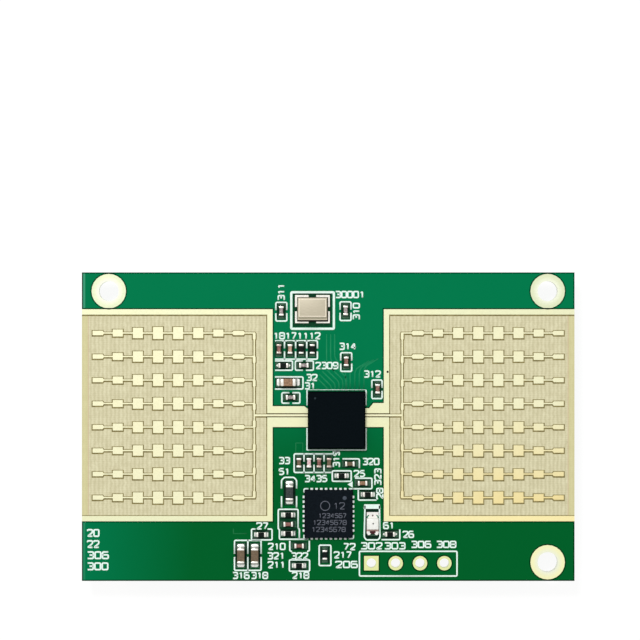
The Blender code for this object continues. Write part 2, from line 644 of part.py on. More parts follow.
def chip_rows():
    """The chips that stand in even rows, as places of their own."""
    filters = (CAPACITOR, CAPACITOR, RESISTOR, RESISTOR)
    filter_colours = (RED_CERAMIC, GREY_CERAMIC, BLACK_GLAZE, BLACK_GLAZE)
    for step, (chip, colour) in enumerate(zip(filters, filter_colours)):
        right = FILTER_ROW.right + step * FILTER_ROW.pitch
        name = f"filter_part_{step + 1}"
        yield Place(name, chip, FILTER_ROW.corner, right, FILTER_ROW.up, True, colour)
    for step, colour in enumerate((BROWN_CERAMIC, GREY_CERAMIC, RED_CERAMIC, BROWN_CERAMIC)):
        right = DECOUPLING_ROW.right + step * DECOUPLING_ROW.pitch
        name = f"decoupling_capacitor_{step + 1}"
        yield Place(name, CAPACITOR, DECOUPLING_ROW.corner, right, DECOUPLING_ROW.up, True, colour)
    reset = (
        ("reset_resistor_upper", RESISTOR, BLACK_GLAZE),
        ("reset_capacitor", CAPACITOR, RED_CERAMIC),
        ("reset_resistor_lower", RESISTOR, BLACK_GLAZE),
    )
    for step, (name, chip, colour) in enumerate(reset):
        up = RESET_STACK.up - step * RESET_STACK.pitch
        yield Place(name, chip, RESET_STACK.corner, RESET_STACK.right, up, False, colour)
    for step in range(2):
        right = INPUT_ROW.right + step * INPUT_ROW.pitch
        name = f"input_capacitor_{step + 1}"
        yield Place(name, LARGE_CAPACITOR, INPUT_ROW.corner, right, INPUT_ROW.up, True, BROWN_CERAMIC)


def small_chips(metal, front):
    for place in PLACES + tuple(chip_rows()):
        body = make_material(place.name + "_body", place.colour, 0.45)
        x = place.corner[0] + place.right
        y = place.corner[1] + place.up
        two_terminal_chip(place.name, place.chip, x, y, place.upright, body, metal, front)


def connector_housing(material, rear):
    """Open-fronted housing: cavity, key slots, a hole for each contact and a recess for each tab."""
    half = HOUSING_WIDTH / 2
    mesh_tool = bmesh.new()
    box(mesh_tool, (0.0, -half, 0.0), (HOUSING_DEPTH, half, HOUSING_HEIGHT))
    housing = make_object("connector_housing", mesh_tool, [material], rear)
    beyond = METAL_STRIP
    cavity = bmesh.new()
    box(cavity, (-beyond, -CAVITY_WIDTH / 2, HOUSING_BOARD_WALL),
        (CAVITY_DEPTH, CAVITY_WIDTH / 2, HOUSING_BOARD_WALL + CAVITY_HEIGHT))
    combine(housing, cavity)
    slots = bmesh.new()
    for side in (-1, 1):
        middle = side * KEY_SLOT_SPACING / 2
        box(slots, (-beyond, middle - KEY_SLOT_WIDTH / 2, HOUSING_BOARD_WALL + CAVITY_HEIGHT / 2),
            (KEY_SLOT_LENGTH, middle + KEY_SLOT_WIDTH / 2, HOUSING_HEIGHT + beyond))
    combine(housing, slots)
    recesses = bmesh.new()
    for low, high in ((-half - beyond, -CORE_WIDTH / 2), (CORE_WIDTH / 2, half + beyond)):
        box(recesses, (-beyond, low, -beyond), (TAB_RECESS_LENGTH, high, HOUSING_HEIGHT + beyond))
    combine(housing, recesses)
    holes = bmesh.new()
    reach = METAL_STRIP / 2 + CONTACT_CLEARANCE
    for y in contact_places():
        width = CONTACT_WIDTH / 2 + CONTACT_CLEARANCE
        box(holes, (CAVITY_DEPTH - beyond, y - width, CONTACT_Z - reach),
            (HOUSING_DEPTH + beyond, y + width, CONTACT_Z + reach))
    combine(housing, holes)


def contact_places():
    return [(way - (WAYS - 1) / 2) * CONTACT_PITCH for way in range(WAYS)]


def connector_contacts(material, rear):
    """Blades that pass the back wall, drop behind it and end in a tail on the board."""
    half = METAL_STRIP / 2
    drop = HOUSING_DEPTH + CONTACT_CLEARANCE
    outline = (
        (CONTACT_TIP_GAP, CONTACT_Z - half),
        (drop, CONTACT_Z - half),
        (drop, 0.0),
        (drop + METAL_STRIP + CONTACT_TAIL, 0.0),
        (drop + METAL_STRIP + CONTACT_TAIL, METAL_STRIP),
        (drop + METAL_STRIP, METAL_STRIP),
        (drop + METAL_STRIP, CONTACT_Z + half),
        (CONTACT_TIP_GAP, CONTACT_Z + half),
    )
    for way, y in enumerate(contact_places()):
        mesh_tool = prism([(x, -z) for x, z in outline], -CONTACT_WIDTH / 2, CONTACT_WIDTH / 2)
        bmesh.ops.rotate(mesh_tool, verts=mesh_tool.verts[:], cent=(0.0, 0.0, 0.0),
                         matrix=Matrix.Rotation(-math.pi / 2, 3, "X"))
        make_object(f"connector_contact_{way + 1}", mesh_tool, [material], rear, (0.0, y, 0.0))


def connector_tabs(material, rear):
    """Angle strips soldered beside the mouth: a leg on the housing and a foot on the board."""
    leg = CORE_WIDTH / 2
    foot = HOUSING_WIDTH / 2
    outline = (
        (leg, 0.0),
        (foot, 0.0),
        (foot, METAL_STRIP),
        (leg + METAL_STRIP, METAL_STRIP),
        (leg + METAL_STRIP, TAB_HEIGHT),
        (leg, TAB_HEIGHT),
    )
    start = (TAB_RECESS_LENGTH - TAB_LENGTH) / 2
    for name, side in (("front", -1), ("rear", 1)):
        placed = [(side * y, z) for y, z in outline]
        mesh_tool = prism(placed, start, start + TAB_LENGTH)
        upright = Matrix(((0.0, 0.0, 1.0), (1.0, 0.0, 0.0), (0.0, 1.0, 0.0)))
        bmesh.ops.rotate(mesh_tool, verts=mesh_tool.verts[:], cent=(0.0, 0.0, 0.0), matrix=upright)
        make_object(f"connector_tab_{name}", mesh_tool, [material], rear)


def clear_scene():
    for item in list(bpy.data.objects):
        bpy.data.objects.remove(item, do_unlink=True)


def build():
    clear_scene()
    gold = make_material("gold_plate", (0.97, 0.93, 0.74), 0.30, 0.8)
    tin = make_material("tin_solder", (0.80, 0.80, 0.79), 0.30, 0.9)
    green = make_material("green_solder_mask", (0.0, 0.43, 0.22), 0.30)
    moulding = make_material("black_moulding", (0.07, 0.09, 0.11), 0.55)

    laminate_board(make_material("glass_laminate", (0.85, 0.81, 0.67), 0.60))
    front_solder_mask(green)
    rear_solder_mask(green)
    ground_frame("left_upper_ground_frame", -1, 1, LEFT_UPPER_BAND, gold)
    ground_frame("left_lower_ground_frame", -1, -1, LOWER_BAND, gold)
    ground_frame("right_upper_ground_frame", 1, 1, RIGHT_UPPER_BAND, gold)
    ground_frame("right_lower_ground_frame", 1, -1, LOWER_BAND, gold)
    patch_antenna("left_patch_antenna", -1, gold)
    patch_antenna("right_patch_antenna", 1, gold)
    for corner, x, y in mounting_holes():
        plated_hole(f"mounting_ring_{corner}", x, y, HOLE_RADIUS, HOLE_RING_WIDTH, HOLE_SIDES, gold)
    for pin, (x, y) in enumerate(header_places()):
        plated_hole(f"header_pad_{pin + 1}", x, y, HEADER_HOLE_RADIUS, HEADER_RING_WIDTH,
                    HEADER_SIDES, gold, square=pin == 0)

    front = make_datum("front_face", FRONT_Z)
    radar_chip(moulding, front)
    microcontroller(moulding, tin, front)
    crystal_base(make_material("crystal_ceramic", (0.55, 0.52, 0.47), 0.50), front)
    crystal_lid(make_material("crystal_lid_metal", (0.80, 0.76, 0.70), 0.35, 0.9), front)
    status_led(make_material("led_lens", (0.93, 0.92, 0.86), 0.30), tin, front)
    small_chips(tin, front)

    rear = make_datum("rear_face", REAR_Z, turned_over=True)
    connector = make_datum("connector_place", 0.0)
    connector.parent = rear
    connector.location = (HOUSING_X, -HOUSING_Y, 0.0)
    connector_housing(make_material("housing_nylon", (0.90, 0.86, 0.76), 0.45), connector)
    connector_contacts(make_material("contact_brass", (0.88, 0.80, 0.55), 0.30, 0.9), connector)
    connector_tabs(make_material("tab_tin", (0.78, 0.78, 0.77), 0.35, 0.9), connector)


build()
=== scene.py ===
"""Looks of a microwave radar sensor module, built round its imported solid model.

Metres, in the frame of the solid model: the board lies flat, populated side up, +Y to its top edge.
Sizes below are in millimetres and are turned into metres by MM.
"""
import math
from collections import namedtuple

import bmesh
import bpy
from bpy.props import FloatProperty, FloatVectorProperty, PointerProperty
from mathutils import Matrix, Vector


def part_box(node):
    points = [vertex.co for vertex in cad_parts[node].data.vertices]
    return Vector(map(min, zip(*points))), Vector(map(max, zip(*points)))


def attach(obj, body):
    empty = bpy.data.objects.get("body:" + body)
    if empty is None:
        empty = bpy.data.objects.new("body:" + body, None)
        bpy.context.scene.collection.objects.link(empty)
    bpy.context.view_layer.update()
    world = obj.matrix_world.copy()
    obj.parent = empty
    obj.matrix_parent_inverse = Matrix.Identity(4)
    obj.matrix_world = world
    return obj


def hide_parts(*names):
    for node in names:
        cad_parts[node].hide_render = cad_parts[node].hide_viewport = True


bl_info = {
    "name": "Radar Board Dressing",
    "version": (1, 0, 0),
    "blender": (4, 5, 0),
    "location": "View3D > Sidebar > Radar Board",
    "description": "Finishes, printing, solder and fitted chips for a microwave radar sensor board",
    "category": "Object",
}

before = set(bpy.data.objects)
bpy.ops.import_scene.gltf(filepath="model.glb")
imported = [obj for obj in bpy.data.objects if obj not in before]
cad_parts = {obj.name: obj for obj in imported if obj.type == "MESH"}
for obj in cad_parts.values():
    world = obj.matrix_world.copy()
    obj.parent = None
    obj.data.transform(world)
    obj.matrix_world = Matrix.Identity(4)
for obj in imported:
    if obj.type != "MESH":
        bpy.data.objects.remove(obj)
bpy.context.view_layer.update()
MM = 0.001

# Faces and edges of the board, from the frame
_, MASK_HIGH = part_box("front_solder_mask")
EDGE_X, EDGE_Y, FRONT = MASK_HIGH
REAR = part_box("rear_solder_mask")[0].z
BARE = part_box("laminate_board")[1].z

RING_NODES = (
    "mounting_ring_top_left", "mounting_ring_top_right", "mounting_ring_bottom_right",
)
ANTENNA_NODES = ("left_patch_antenna", "right_patch_antenna")
FRAME_NODES = (
    "left_upper_ground_frame", "left_lower_ground_frame",
    "right_upper_ground_frame", "right_lower_ground_frame",
)

# Width of the paler strip of mask along the left side: a painted highlight where the board's edge
# catches the light
THIN_EDGE = 0.34 * MM
# Height of the darker ground that is laid round parts: partly the openings of the mask, partly
# painted shade
GROUND_HEIGHT = 0.006 * MM
# Height of the tracks that show through the mask
TRACK_HEIGHT = 0.006 * MM
# How deep a printed or moulded dot goes into its surface
DISC_SINK = 0.02 * MM
# Points nearer than this are one point, and faces nearer than this are at one level
SAME_PLACE = 1e-7
SAME_LEVEL = 1e-6


def display(red, green, blue):
    """Linear colour for a colour given as it looks on a display, 0 to 255."""
    def linear(value):
        share = value / 255
        return share / 12.92 if share <= 0.04045 else ((share + 0.055) / 1.055) ** 2.4
    return (linear(red), linear(green), linear(blue))


class BoardFinish(bpy.types.PropertyGroup):
    """Colours of the bare board, its mask and its plating."""
    mask_upper: FloatVectorProperty(
        name="Mask, upper left", description="Solder mask colour at the upper left corner",
        subtype="COLOR", default=display(0, 121, 75))
    mask_lower: FloatVectorProperty(
        name="Mask, lower right", description="Solder mask colour at the lower right corner",
        subtype="COLOR", default=display(0, 95, 41))
    gold_upper: FloatVectorProperty(
        name="Gold, upper left", description="Plating colour at the upper left corner",
        subtype="COLOR", default=display(225, 226, 186))
    gold_lower: FloatVectorProperty(
        name="Gold, lower right", description="Plating colour at the lower right corner",
        subtype="COLOR", default=display(243, 229, 168))
    pad_upper: FloatVectorProperty(
        name="Rings, upper left", description="Plating colour of the rings at the upper left",
        subtype="COLOR", default=display(214, 220, 184))
    pad_lower: FloatVectorProperty(
        name="Rings, lower right", description="Plating colour of the rings at the lower right",
        subtype="COLOR", default=display(240, 238, 186))
    resin: FloatVectorProperty(
        name="Laminate", description="Colour of the resin between the glass threads",
        subtype="COLOR", default=display(202, 195, 156))
    glass: FloatVectorProperty(
        name="Glass", description="Colour of the glass threads",
        subtype="COLOR", default=display(232, 228, 191))
    thread_pitch: FloatProperty(
        name="Thread pitch", description="Distance between the threads of the glass weave",
        unit="LENGTH", default=0.42 * MM)
    edge_strip: FloatProperty(
        name="Edge strip", description="Width of the yellower strip along the board's bare edges",
        unit="LENGTH", default=0.62 * MM)
    # The dark line round etched copper is partly resin and partly painted shadow, wider below the
    # copper.
    etched_edge: FloatProperty(
        name="Etched edge", description="Width of the dark resin line round etched copper",
        unit="LENGTH", default=0.11 * MM)
    mask_edge: FloatProperty(
        name="Mask edge", description="Width of the darker line where the mask ends",
        unit="LENGTH", default=0.13 * MM)


class InkSettings(bpy.types.PropertyGroup):
    """The white printing."""
    line: FloatProperty(
        name="Line", description="Width of a printed line", unit="LENGTH", default=0.16 * MM)
    heavy_line: FloatProperty(
        name="Heavy line", description="Width of the line round the crystal",
        unit="LENGTH", default=0.24 * MM)
    fine_line: FloatProperty(
        name="Fine line", description="Width of the line round the radar chip",
        unit="LENGTH", default=0.14 * MM)
    height: FloatProperty(
        name="Height", description="How far the ink stands on the mask", unit="LENGTH",
        default=0.012 * MM)
    digit_height: FloatProperty(
        name="Digit height", description="Height of a printed digit", unit="LENGTH",
        default=0.62 * MM)
    colour: FloatVectorProperty(
        name="Ink", description="Colour of the ink", subtype="COLOR",
        default=display(240, 255, 248))


class StudioSettings(bpy.types.PropertyGroup):
    """Camera and lights."""
    lens: FloatProperty(
        name="Lens", description="Focal length in millimetres", default=200.0)
    height: FloatProperty(
        name="Height", description="Camera height over the board", unit="LENGTH", default=0.371)
    across: FloatProperty(
        name="Across", description="Camera place along X", unit="LENGTH", default=-0.000856)
    up: FloatProperty(
        name="Up", description="Camera place along Y", unit="LENGTH", default=0.01113)
    key_power: FloatProperty(
        name="Key", description="Power of the main lamp in watts", default=1.75)
    ambient: FloatProperty(
        name="Ambient", description="Strength of the even light from all round", default=0.48)


def read_groups():
    scene = bpy.context.scene
    return scene.radar_board_finish, scene.radar_board_ink, scene.radar_board_studio


def connect(tree, socket, value):
    """Feed a socket from another one, or set it to a number, a colour or three numbers."""
    if isinstance(value, bpy.types.NodeSocket):
        tree.links.new(value, socket)
    else:
        socket.default_value = (*value, 1.0) if socket.type == "RGBA" else value


def fill(tree, node, inputs):
    """Connect or set inputs; a name is in small letters, with underscores between its words."""
    for name, value in inputs.items():
        connect(tree, node.inputs[name.replace("_", " ").title()], value)
    return node.outputs


def add_node(tree, kind, **inputs):
    """Add a shader node and give back its outputs."""
    return fill(tree, tree.nodes.new("ShaderNode" + kind), inputs)


def join(tree, kind, *terms):
    """Add a shader node whose inputs are filled in order, and give back its first output."""
    node = tree.nodes.new("ShaderNode" + kind)
    for socket, term in zip(node.inputs, terms):
        connect(tree, socket, term)
    return node.outputs[0]


def maths(tree, operation, *terms):
    """Add a Math node; each term is a socket or a number."""
    result = join(tree, "Math", *terms)
    result.node.operation = operation
    return result


def mix_colours(tree, share, first, second):
    """Add a colour Mix node; share is a socket, and each colour is a socket or three numbers."""
    node = tree.nodes.new("ShaderNodeMix")
    node.data_type = "RGBA"
    colours = [socket for socket in node.inputs if socket.type == "RGBA"]
    for socket, value in zip((node.inputs["Factor"], *colours), (share, first, second)):
        connect(tree, socket, value)
    return next(socket for socket in node.outputs if socket.type == "RGBA")


def fine_grain(tree, given):
    """Even noise as a mask and as a shallow bump."""
    noise = add_node(tree, "TexNoise", vector=given["Vector"], scale=given["Scale"], detail=3.0)
    bump = add_node(tree, "Bump", strength=1.0, height=noise["Fac"], distance=given["Depth"])
    return noise["Fac"], bump["Normal"]


def colour_drift(tree, given):
    """A colour that changes slowly towards the lower right, with faint patches."""
    place = add_node(tree, "SeparateXYZ", vector=given["Vector"])
    noise = add_node(tree, "TexNoise", vector=given["Vector"], scale=given["Patch Scale"])
    across, down = (
        add_node(tree, "MapRange", value=place[axis], from_min=given[start],
                 from_max=given[end])["Result"]
        for axis, start, end in (("X", "Left", "Right"), ("Y", "Top", "Bottom")))
    slope = maths(tree, "MULTIPLY", across, down)
    centred = maths(tree, "SUBTRACT", noise["Fac"], 0.5)
    total = maths(tree, "MULTIPLY_ADD", centred, given["Patchiness"], slope)
    share = add_node(tree, "Clamp", value=total)["Result"]
    return mix_colours(tree, share, given["Upper Left"], given["Lower Right"]),


def glass_weave(tree, given):
    """Crossing threads of glass cloth seen through resin."""
    waves = []
    for direction, scale in (("X", "Warp Scale"), ("Y", "Weft Scale")):
        wave = add_node(tree, "TexWave", vector=given["Vector"], scale=given[scale],
                        distortion=2.8, detail=3.0, detail_scale=2.6)["Fac"]
        wave.node.bands_direction = direction
        waves.append(wave)
    clouds = add_node(tree, "TexNoise", vector=given["Vector"], scale=1100.0, detail=5.0,
                      roughness=0.7)["Fac"]
    crossed = maths(tree, "MULTIPLY_ADD", waves[1], 0.30, maths(tree, "MULTIPLY", waves[0], 0.56))
    centred = maths(tree, "SUBTRACT", clouds, 0.5)
    return maths(tree, "MULTIPLY_ADD", centred, given["Unevenness"], crossed), clouds


def speckle(tree, given):
    """Two colours mottled together, for fired ceramic and moulded resin."""
    noise = add_node(tree, "TexNoise", vector=given["Vector"], scale=given["Scale"], detail=4.0)
    sharp = add_node(tree, "MapRange", value=noise["Fac"], from_min=0.42, from_max=0.62)
    share = maths(tree, "MULTIPLY", sharp["Result"], given["Amount"])
    return mix_colours(tree, share, given["Ground"], given["Speck"]),


def fall_away(tree, given):
    """How flat a surface lies: 0 where its sides fall away, 1 where it faces up."""
    normal = add_node(tree, "SeparateXYZ", vector=add_node(tree, "NewGeometry")["Normal"])
    upward = add_node(tree, "MapRange", value=normal["Z"], from_min=given["Low"],
                      from_max=given["High"])
    return upward["Result"],


# Shared effects: how each is built, its inputs and its outputs; a number is an input's default
EFFECTS = {
    "fine_grain": (fine_grain, {"Vector": "Vector", "Scale": 4000.0, "Depth": 0.00001},
                   {"Mask": "Float", "Normal": "Vector"}),
    "colour_drift": (colour_drift, {
        "Vector": "Vector", "Upper Left": "Color", "Lower Right": "Color", "Left": -0.025,
        "Right": 0.025, "Top": 0.016, "Bottom": -0.016, "Patch Scale": 250.0, "Patchiness": 0.1,
    }, {"Color": "Color"}),
    "glass_weave": (glass_weave, {
        "Vector": "Vector", "Warp Scale": 740.0, "Weft Scale": 740.0, "Unevenness": 0.8,
    }, {"Threads": "Float", "Clouds": "Float"}),
    "speckle": (speckle, {
        "Vector": "Vector", "Ground": "Color", "Speck": "Color", "Scale": 9000.0, "Amount": 0.5,
    }, {"Color": "Color"}),
    "fall_away": (fall_away, {"Low": 0.45, "High": 0.97}, {"Flatness": "Float"}),
}


def effect(name):
    """The shared shader effect of this name, built the first time that a material asks for it."""
    if name in bpy.data.node_groups:
        return bpy.data.node_groups[name]
    build, inputs, outputs = EFFECTS[name]
    group = bpy.data.node_groups.new(name, "ShaderNodeTree")
    for socket, value in inputs.items():
        kind = value if isinstance(value, str) else "Float"
        made = group.interface.new_socket(name=socket, in_out="INPUT",
                                          socket_type="NodeSocket" + kind)
        if kind == "Float":
            made.default_value = value
    for socket, kind in outputs.items():
        group.interface.new_socket(name=socket, in_out="OUTPUT", socket_type="NodeSocket" + kind)
    results = build(group, group.nodes.new("NodeGroupInput").outputs)
    for socket, result in zip(group.nodes.new("NodeGroupOutput").inputs, results):
        connect(group, socket, result)
    return group


class Finish:
    """A material in the making: one Principled shader, and short ways to place nodes before it."""

    def __init__(self, name, colour, roughness, metallic=0.0, specular=0.5):
        self.material = bpy.data.materials.new(name)
        self.material.use_nodes = True
        self.material.diffuse_color = (*colour, 1.0)
        self.tree = self.material.node_tree
        self.feed("Base Color", colour)
        self.feed("Roughness", roughness)
        self.feed("Metallic", metallic)
        self.feed("Specular IOR Level", specular)
        self.place = add_node(self.tree, "TexCoord")["Object"]

    def feed(self, socket, value):
        connect(self.tree, self.tree.nodes["Principled BSDF"].inputs[socket], value)

    def node(self, kind, **inputs):
        return add_node(self.tree, kind, **inputs)

    def maths(self, operation, *terms):
        return maths(self.tree, operation, *terms)

    def mix(self, share, first, second):
        return mix_colours(self.tree, share, first, second)

    def effect(self, name, **values):
        """Place a shared effect and give back its outputs."""
        node = self.tree.nodes.new("ShaderNodeGroup")
        node.node_tree = effect(name)
        if "Vector" in node.inputs:
            values["vector"] = self.place
        return fill(self.tree, node, values)

    def bump(self, height, strength, distance):
        bump = self.node("Bump", strength=strength, distance=distance * MM, height=height)
        self.feed("Normal", bump["Normal"])

    def roughen(self, mask, smoothest, roughest):
        self.feed("Roughness", self.maths("MULTIPLY_ADD", mask, roughest - smoothest, smoothest))

    def done(self, colour, grain, depth, roughness=None):
        """Colour it, with a fine grain all over and a roughness between two that follows it."""
        self.feed("Base Color", colour)
        fine = self.effect("fine_grain", scale=grain, depth=depth * MM)
        self.feed("Normal", fine["Normal"])
        if roughness:
            self.roughen(fine["Mask"], *roughness)
        return self.material


def mask_finish(name, depth=1.0, lift=(0.0, 0.0, 0.0), thin_edge=False):
    """Green solder mask: smooth resin, bluer at the upper left and yellower at the lower right,
    partly its own tone and partly painted falloff of light that darkens it towards the lower right.

    Where asked, it is paler along the left side of the board: a painted highlight of the board's
    lit edge.
    """
    finish, _, _ = read_groups()
    made = Finish(name, finish.mask_upper, 0.30, specular=0.02)
    upper, lower = ([channel * depth + more for channel, more in zip(colour, lift)]
                    for colour in (finish.mask_upper, finish.mask_lower))
    # Painted falloff of light: the mask darkens from the upper left to the lower right, besides its
    # own change of tone.
    colour = made.effect("colour_drift", upper_left=upper, lower_right=lower, left=-26.5 * MM,
                         right=-14.0 * MM, top=5.0 * MM, bottom=-5.0 * MM, patch_scale=220.0,
                         patchiness=0.12)["Color"]
    if thin_edge:
        # Painted highlight: a paler strip along the board's left edge, stronger towards the top.
        place = made.node("SeparateXYZ", vector=made.place)
        strip = made.maths("LESS_THAN", place["X"], THIN_EDGE - EDGE_X)
        strength = made.maths("MULTIPLY_ADD", place["Y"], 13.0, 0.40)
        colour = made.mix(made.maths("MULTIPLY", strip, strength), colour, display(82, 170, 138))
    return made.done(colour, grain=2600.0, depth=0.004, roughness=(0.24, 0.40))


def gold_finish(name, upper, lower, right, top, hole=None):
    """Flat gold plating over etched copper, yellower to the right and below.

    Where a glow hole is given, as the X and Y of one hole that others mirror, the plating is
    painted paler round it: a painted glow of light through the hole.
    """
    made = Finish(name, upper, 0.30, metallic=0.45, specular=0.4)
    colour = made.effect("colour_drift", upper_left=upper, lower_right=lower, left=-12.0 * MM,
                         right=right * MM, top=top * MM, bottom=-9.0 * MM, patch_scale=420.0,
                         patchiness=0.5)["Color"]
    if hole:
        place = made.node("SeparateXYZ", vector=made.place)
        across, along = (
            made.maths("SUBTRACT", made.maths("ABSOLUTE", place[axis]), where)
            for axis, where in zip("XY", hole))
        square = made.maths("MULTIPLY", across, across)
        distance = made.maths("SQRT", made.maths("MULTIPLY_ADD", along, along, square))
        # Painted glow: the plating is mixed towards a paler colour near each hole, as if light
        # shone through it.
        nearness = made.maths("MULTIPLY_ADD", distance, -1.0 / (0.5 * MM), 3.1)
        colour = made.mix(made.maths("MAXIMUM", nearness, 0.0), colour, display(233, 236, 213))
    return made.done(colour, grain=6500.0, depth=0.003, roughness=(0.24, 0.38))


def laminate_finish():
    """Bare glass-fibre laminate: crossing threads in resin, yellower along the board's edge."""
    finish, _, _ = read_groups()
    made = Finish("woven_laminate", finish.resin, 0.55, specular=0.2)
    threads = math.tau / 20 / finish.thread_pitch
    weave = made.effect("glass_weave", warp_scale=threads, weft_scale=threads * 2.2,
                        unevenness=1.5)
    clear = made.mix(weave["Clouds"], display(222, 213, 176), finish.glass)
    cloth = made.mix(weave["Threads"], finish.resin, clear)
    place = made.node("SeparateXYZ", vector=made.place)
    outward = made.maths("ABSOLUTE", place["X"])
    border, soft, half_line = EDGE_X - finish.edge_strip, 0.06 * MM, 0.05 * MM
    strip = made.node("MapRange", value=outward, from_min=border - soft, from_max=border + soft,
                      to_max=0.65)
    yellowed = made.mix(strip["Result"], cloth, display(212, 206, 148))
    from_line = made.maths("ABSOLUTE", made.maths("SUBTRACT", outward, border - half_line))
    line = made.maths("MULTIPLY", made.maths("LESS_THAN", from_line, half_line), 0.55)
    topside = made.mix(line, yellowed, display(200, 170, 136))
    normal = made.node("SeparateXYZ", vector=made.node("NewGeometry")["Normal"])
    cut = made.maths("LESS_THAN", made.maths("ABSOLUTE", normal["Z"]), 0.5)
    layer = made.maths("SINE", made.maths("MULTIPLY", place["Z"], math.tau / (0.19 * MM)))
    layers = made.maths("MULTIPLY_ADD", layer, 0.4, 0.5)
    side = made.mix(layers, display(176, 160, 112), display(214, 202, 158))
    made.feed("Base Color", made.mix(cut, topside, side))
    made.bump(weave["Threads"], strength=0.6, distance=0.012)
    return made.material


def even_finish(name, ground, speck, roughness, scale, amount, grain, depth):
    """Resin or ink: specks and a fine grain, equally rough all over."""
    made = Finish(name, ground, roughness, specular=0.2)
    mottled = made.effect("speckle", ground=ground, speck=speck, scale=scale, amount=amount)
    return made.done(mottled["Color"], grain, depth)


def mottled_finish(name, ground, speck, roughness, scale, specular=0.4, amount=0.6, sides=None,
                   depth=0.004, metallic=0.0):
    """Ceramic, moulding or glaze: a ground colour with specks and a fine grain.

    Where sides is given, the surface takes that colour as it falls away: painted shade on its
    sloping sides.
    """
    made = Finish(name, ground, roughness, metallic=metallic, specular=specular)
    colour = made.effect("speckle", ground=ground, speck=speck, scale=scale,
                         amount=amount)["Color"]
    if sides:
        slope = made.effect("fall_away", low=0.55, high=0.98)
        colour = made.mix(slope["Flatness"], display(*sides), colour)
    return made.done(colour, scale * 1.3, depth, (roughness - 0.06, roughness + 0.10))


def brushed_finish(name, colour, dark, roughness, across, along, metallic=0.85):
    """Metal with fine parallel brush marks along X."""
    made = Finish(name, colour, roughness, metallic=metallic)
    stretch = made.node("Mapping", vector=made.place, scale=(along, across, along))
    marks = made.node("TexNoise", vector=stretch["Vector"], scale=1.0, detail=3.0)["Fac"]
    made.feed("Base Color", made.mix(marks, dark, colour))
    made.bump(marks, strength=0.5, distance=0.003)
    made.roughen(marks, roughness - 0.05, roughness + 0.12)
    return made.material


def solder_finish(name, steep, flat, low=0.45, high=0.97):
    """Bright tin, darker where its sides fall away: painted shade and reflection of dark
    surroundings on its slopes.
    """
    made = Finish(name, flat, 0.28, metallic=0.6)
    slope = made.effect("fall_away", low=low, high=high)
    return made.done(made.mix(slope["Flatness"], steep, flat), grain=5200.0, depth=0.006,
                     roughness=(0.20, 0.38))


# Finishes by how they are made. Each row has two colours as they look on a display, then what
# its maker takes, in the same order
MOTTLED = {
    "mask_opening": ((3, 52, 30), (12, 74, 42), 0.5, 5000.0, 0.05),
    "deep_opening": ((2, 32, 20), (8, 50, 30), 0.5, 5000.0, 0.05),
    "dull_pad": ((16, 72, 46), (62, 106, 76), 0.5, 4200.0, 0.4, 0.6, None, 0.004, 0.2),
    "alumina": ((226, 224, 216), (240, 238, 232), 0.5, 9000.0),
    "black_glaze": ((5, 14, 12), (24, 32, 28), 0.35, 8000.0, 0.08),
    "dark_ferrite": ((44, 50, 50), (74, 80, 78), 0.5, 7000.0, 0.15),
    "brown_ceramic": ((94, 76, 54), (126, 104, 78), 0.45, 7000.0),
    "tan_ceramic": ((126, 94, 66), (170, 132, 100), 0.45, 6000.0, 0.4, 0.8),
    # The seventh item, where a colour is given, is painted shade on the sloping sides of a chip's
    # body.
    "grey_ceramic": ((128, 114, 114), (202, 192, 188), 0.45, 5200.0, 0.4, 0.8, (52, 64, 56)),
    "rose_ceramic": ((158, 120, 98), (216, 182, 158), 0.45, 5200.0, 0.4, 0.8, (84, 82, 52)),
    "red_ceramic": ((108, 60, 54), (168, 118, 106), 0.45, 5200.0, 0.4, 0.8, (62, 38, 32)),
    "blush_ceramic": ((230, 214, 214), (206, 92, 108), 0.45, 5200.0, 0.4, 0.6, (120, 96, 96)),
    "umber_ceramic": ((118, 78, 66), (170, 126, 112), 0.45, 5200.0, 0.4, 0.8, (54, 44, 34)),
    "black_moulding": ((1, 7, 11), (6, 14, 20), 0.6, 6500.0, 0.03, 0.5, None, 0.006),
    "dark_shoulder": ((0, 3, 4), (3, 8, 10), 0.6, 6500.0, 0.02, 0.5, None, 0.006),
    "grey_black_moulding": ((7, 14, 20), (17, 25, 32), 0.58, 6500.0, 0.04, 0.6, None, 0.006),
    "polished_mark": ((66, 74, 84), (86, 92, 102), 0.4, 5200.0, 0.1),
    "faint_mark": ((34, 46, 50), (56, 68, 72), 0.4, 5200.0, 0.05),
    "laser_mark": ((84, 88, 98), (114, 118, 128), 0.5, 6000.0, 0.1),
    "bright_lead": ((246, 255, 250), (255, 255, 255), 0.35, 6000.0),
    "worn_rim": ((236, 224, 204), (246, 238, 222), 0.35, 4000.0, 0.4, 0.6, None, 0.004, 0.4),
    "crystal_ceramic": ((22, 18, 16), (46, 38, 34), 0.55, 7000.0, 0.1),
    "milky_lens": ((240, 240, 232), (252, 252, 248), 0.25, 3000.0, 0.4, 0.6, None, 0.002),
    "lens_shade": ((150, 156, 150), (190, 196, 190), 0.4, 5000.0),
    "lens_base": ((240, 236, 230), (250, 248, 244), 0.5, 5000.0),
    "green_mark": ((20, 120, 84), (60, 150, 110), 0.4, 5000.0, 0.1),
    "copper_edge": ((196, 150, 140), (232, 206, 198), 0.4, 5000.0),
    "dark_red_mark": ((58, 20, 26), (112, 62, 62), 0.45, 7000.0, 0.1),
    "moulded_nylon": ((232, 222, 200), (240, 232, 214), 0.45, 3500.0, 0.4, 0.6, None, 0.006),
    "drilled_via": ((40, 30, 20), (70, 56, 38), 0.6, 5000.0, 0.1),
}
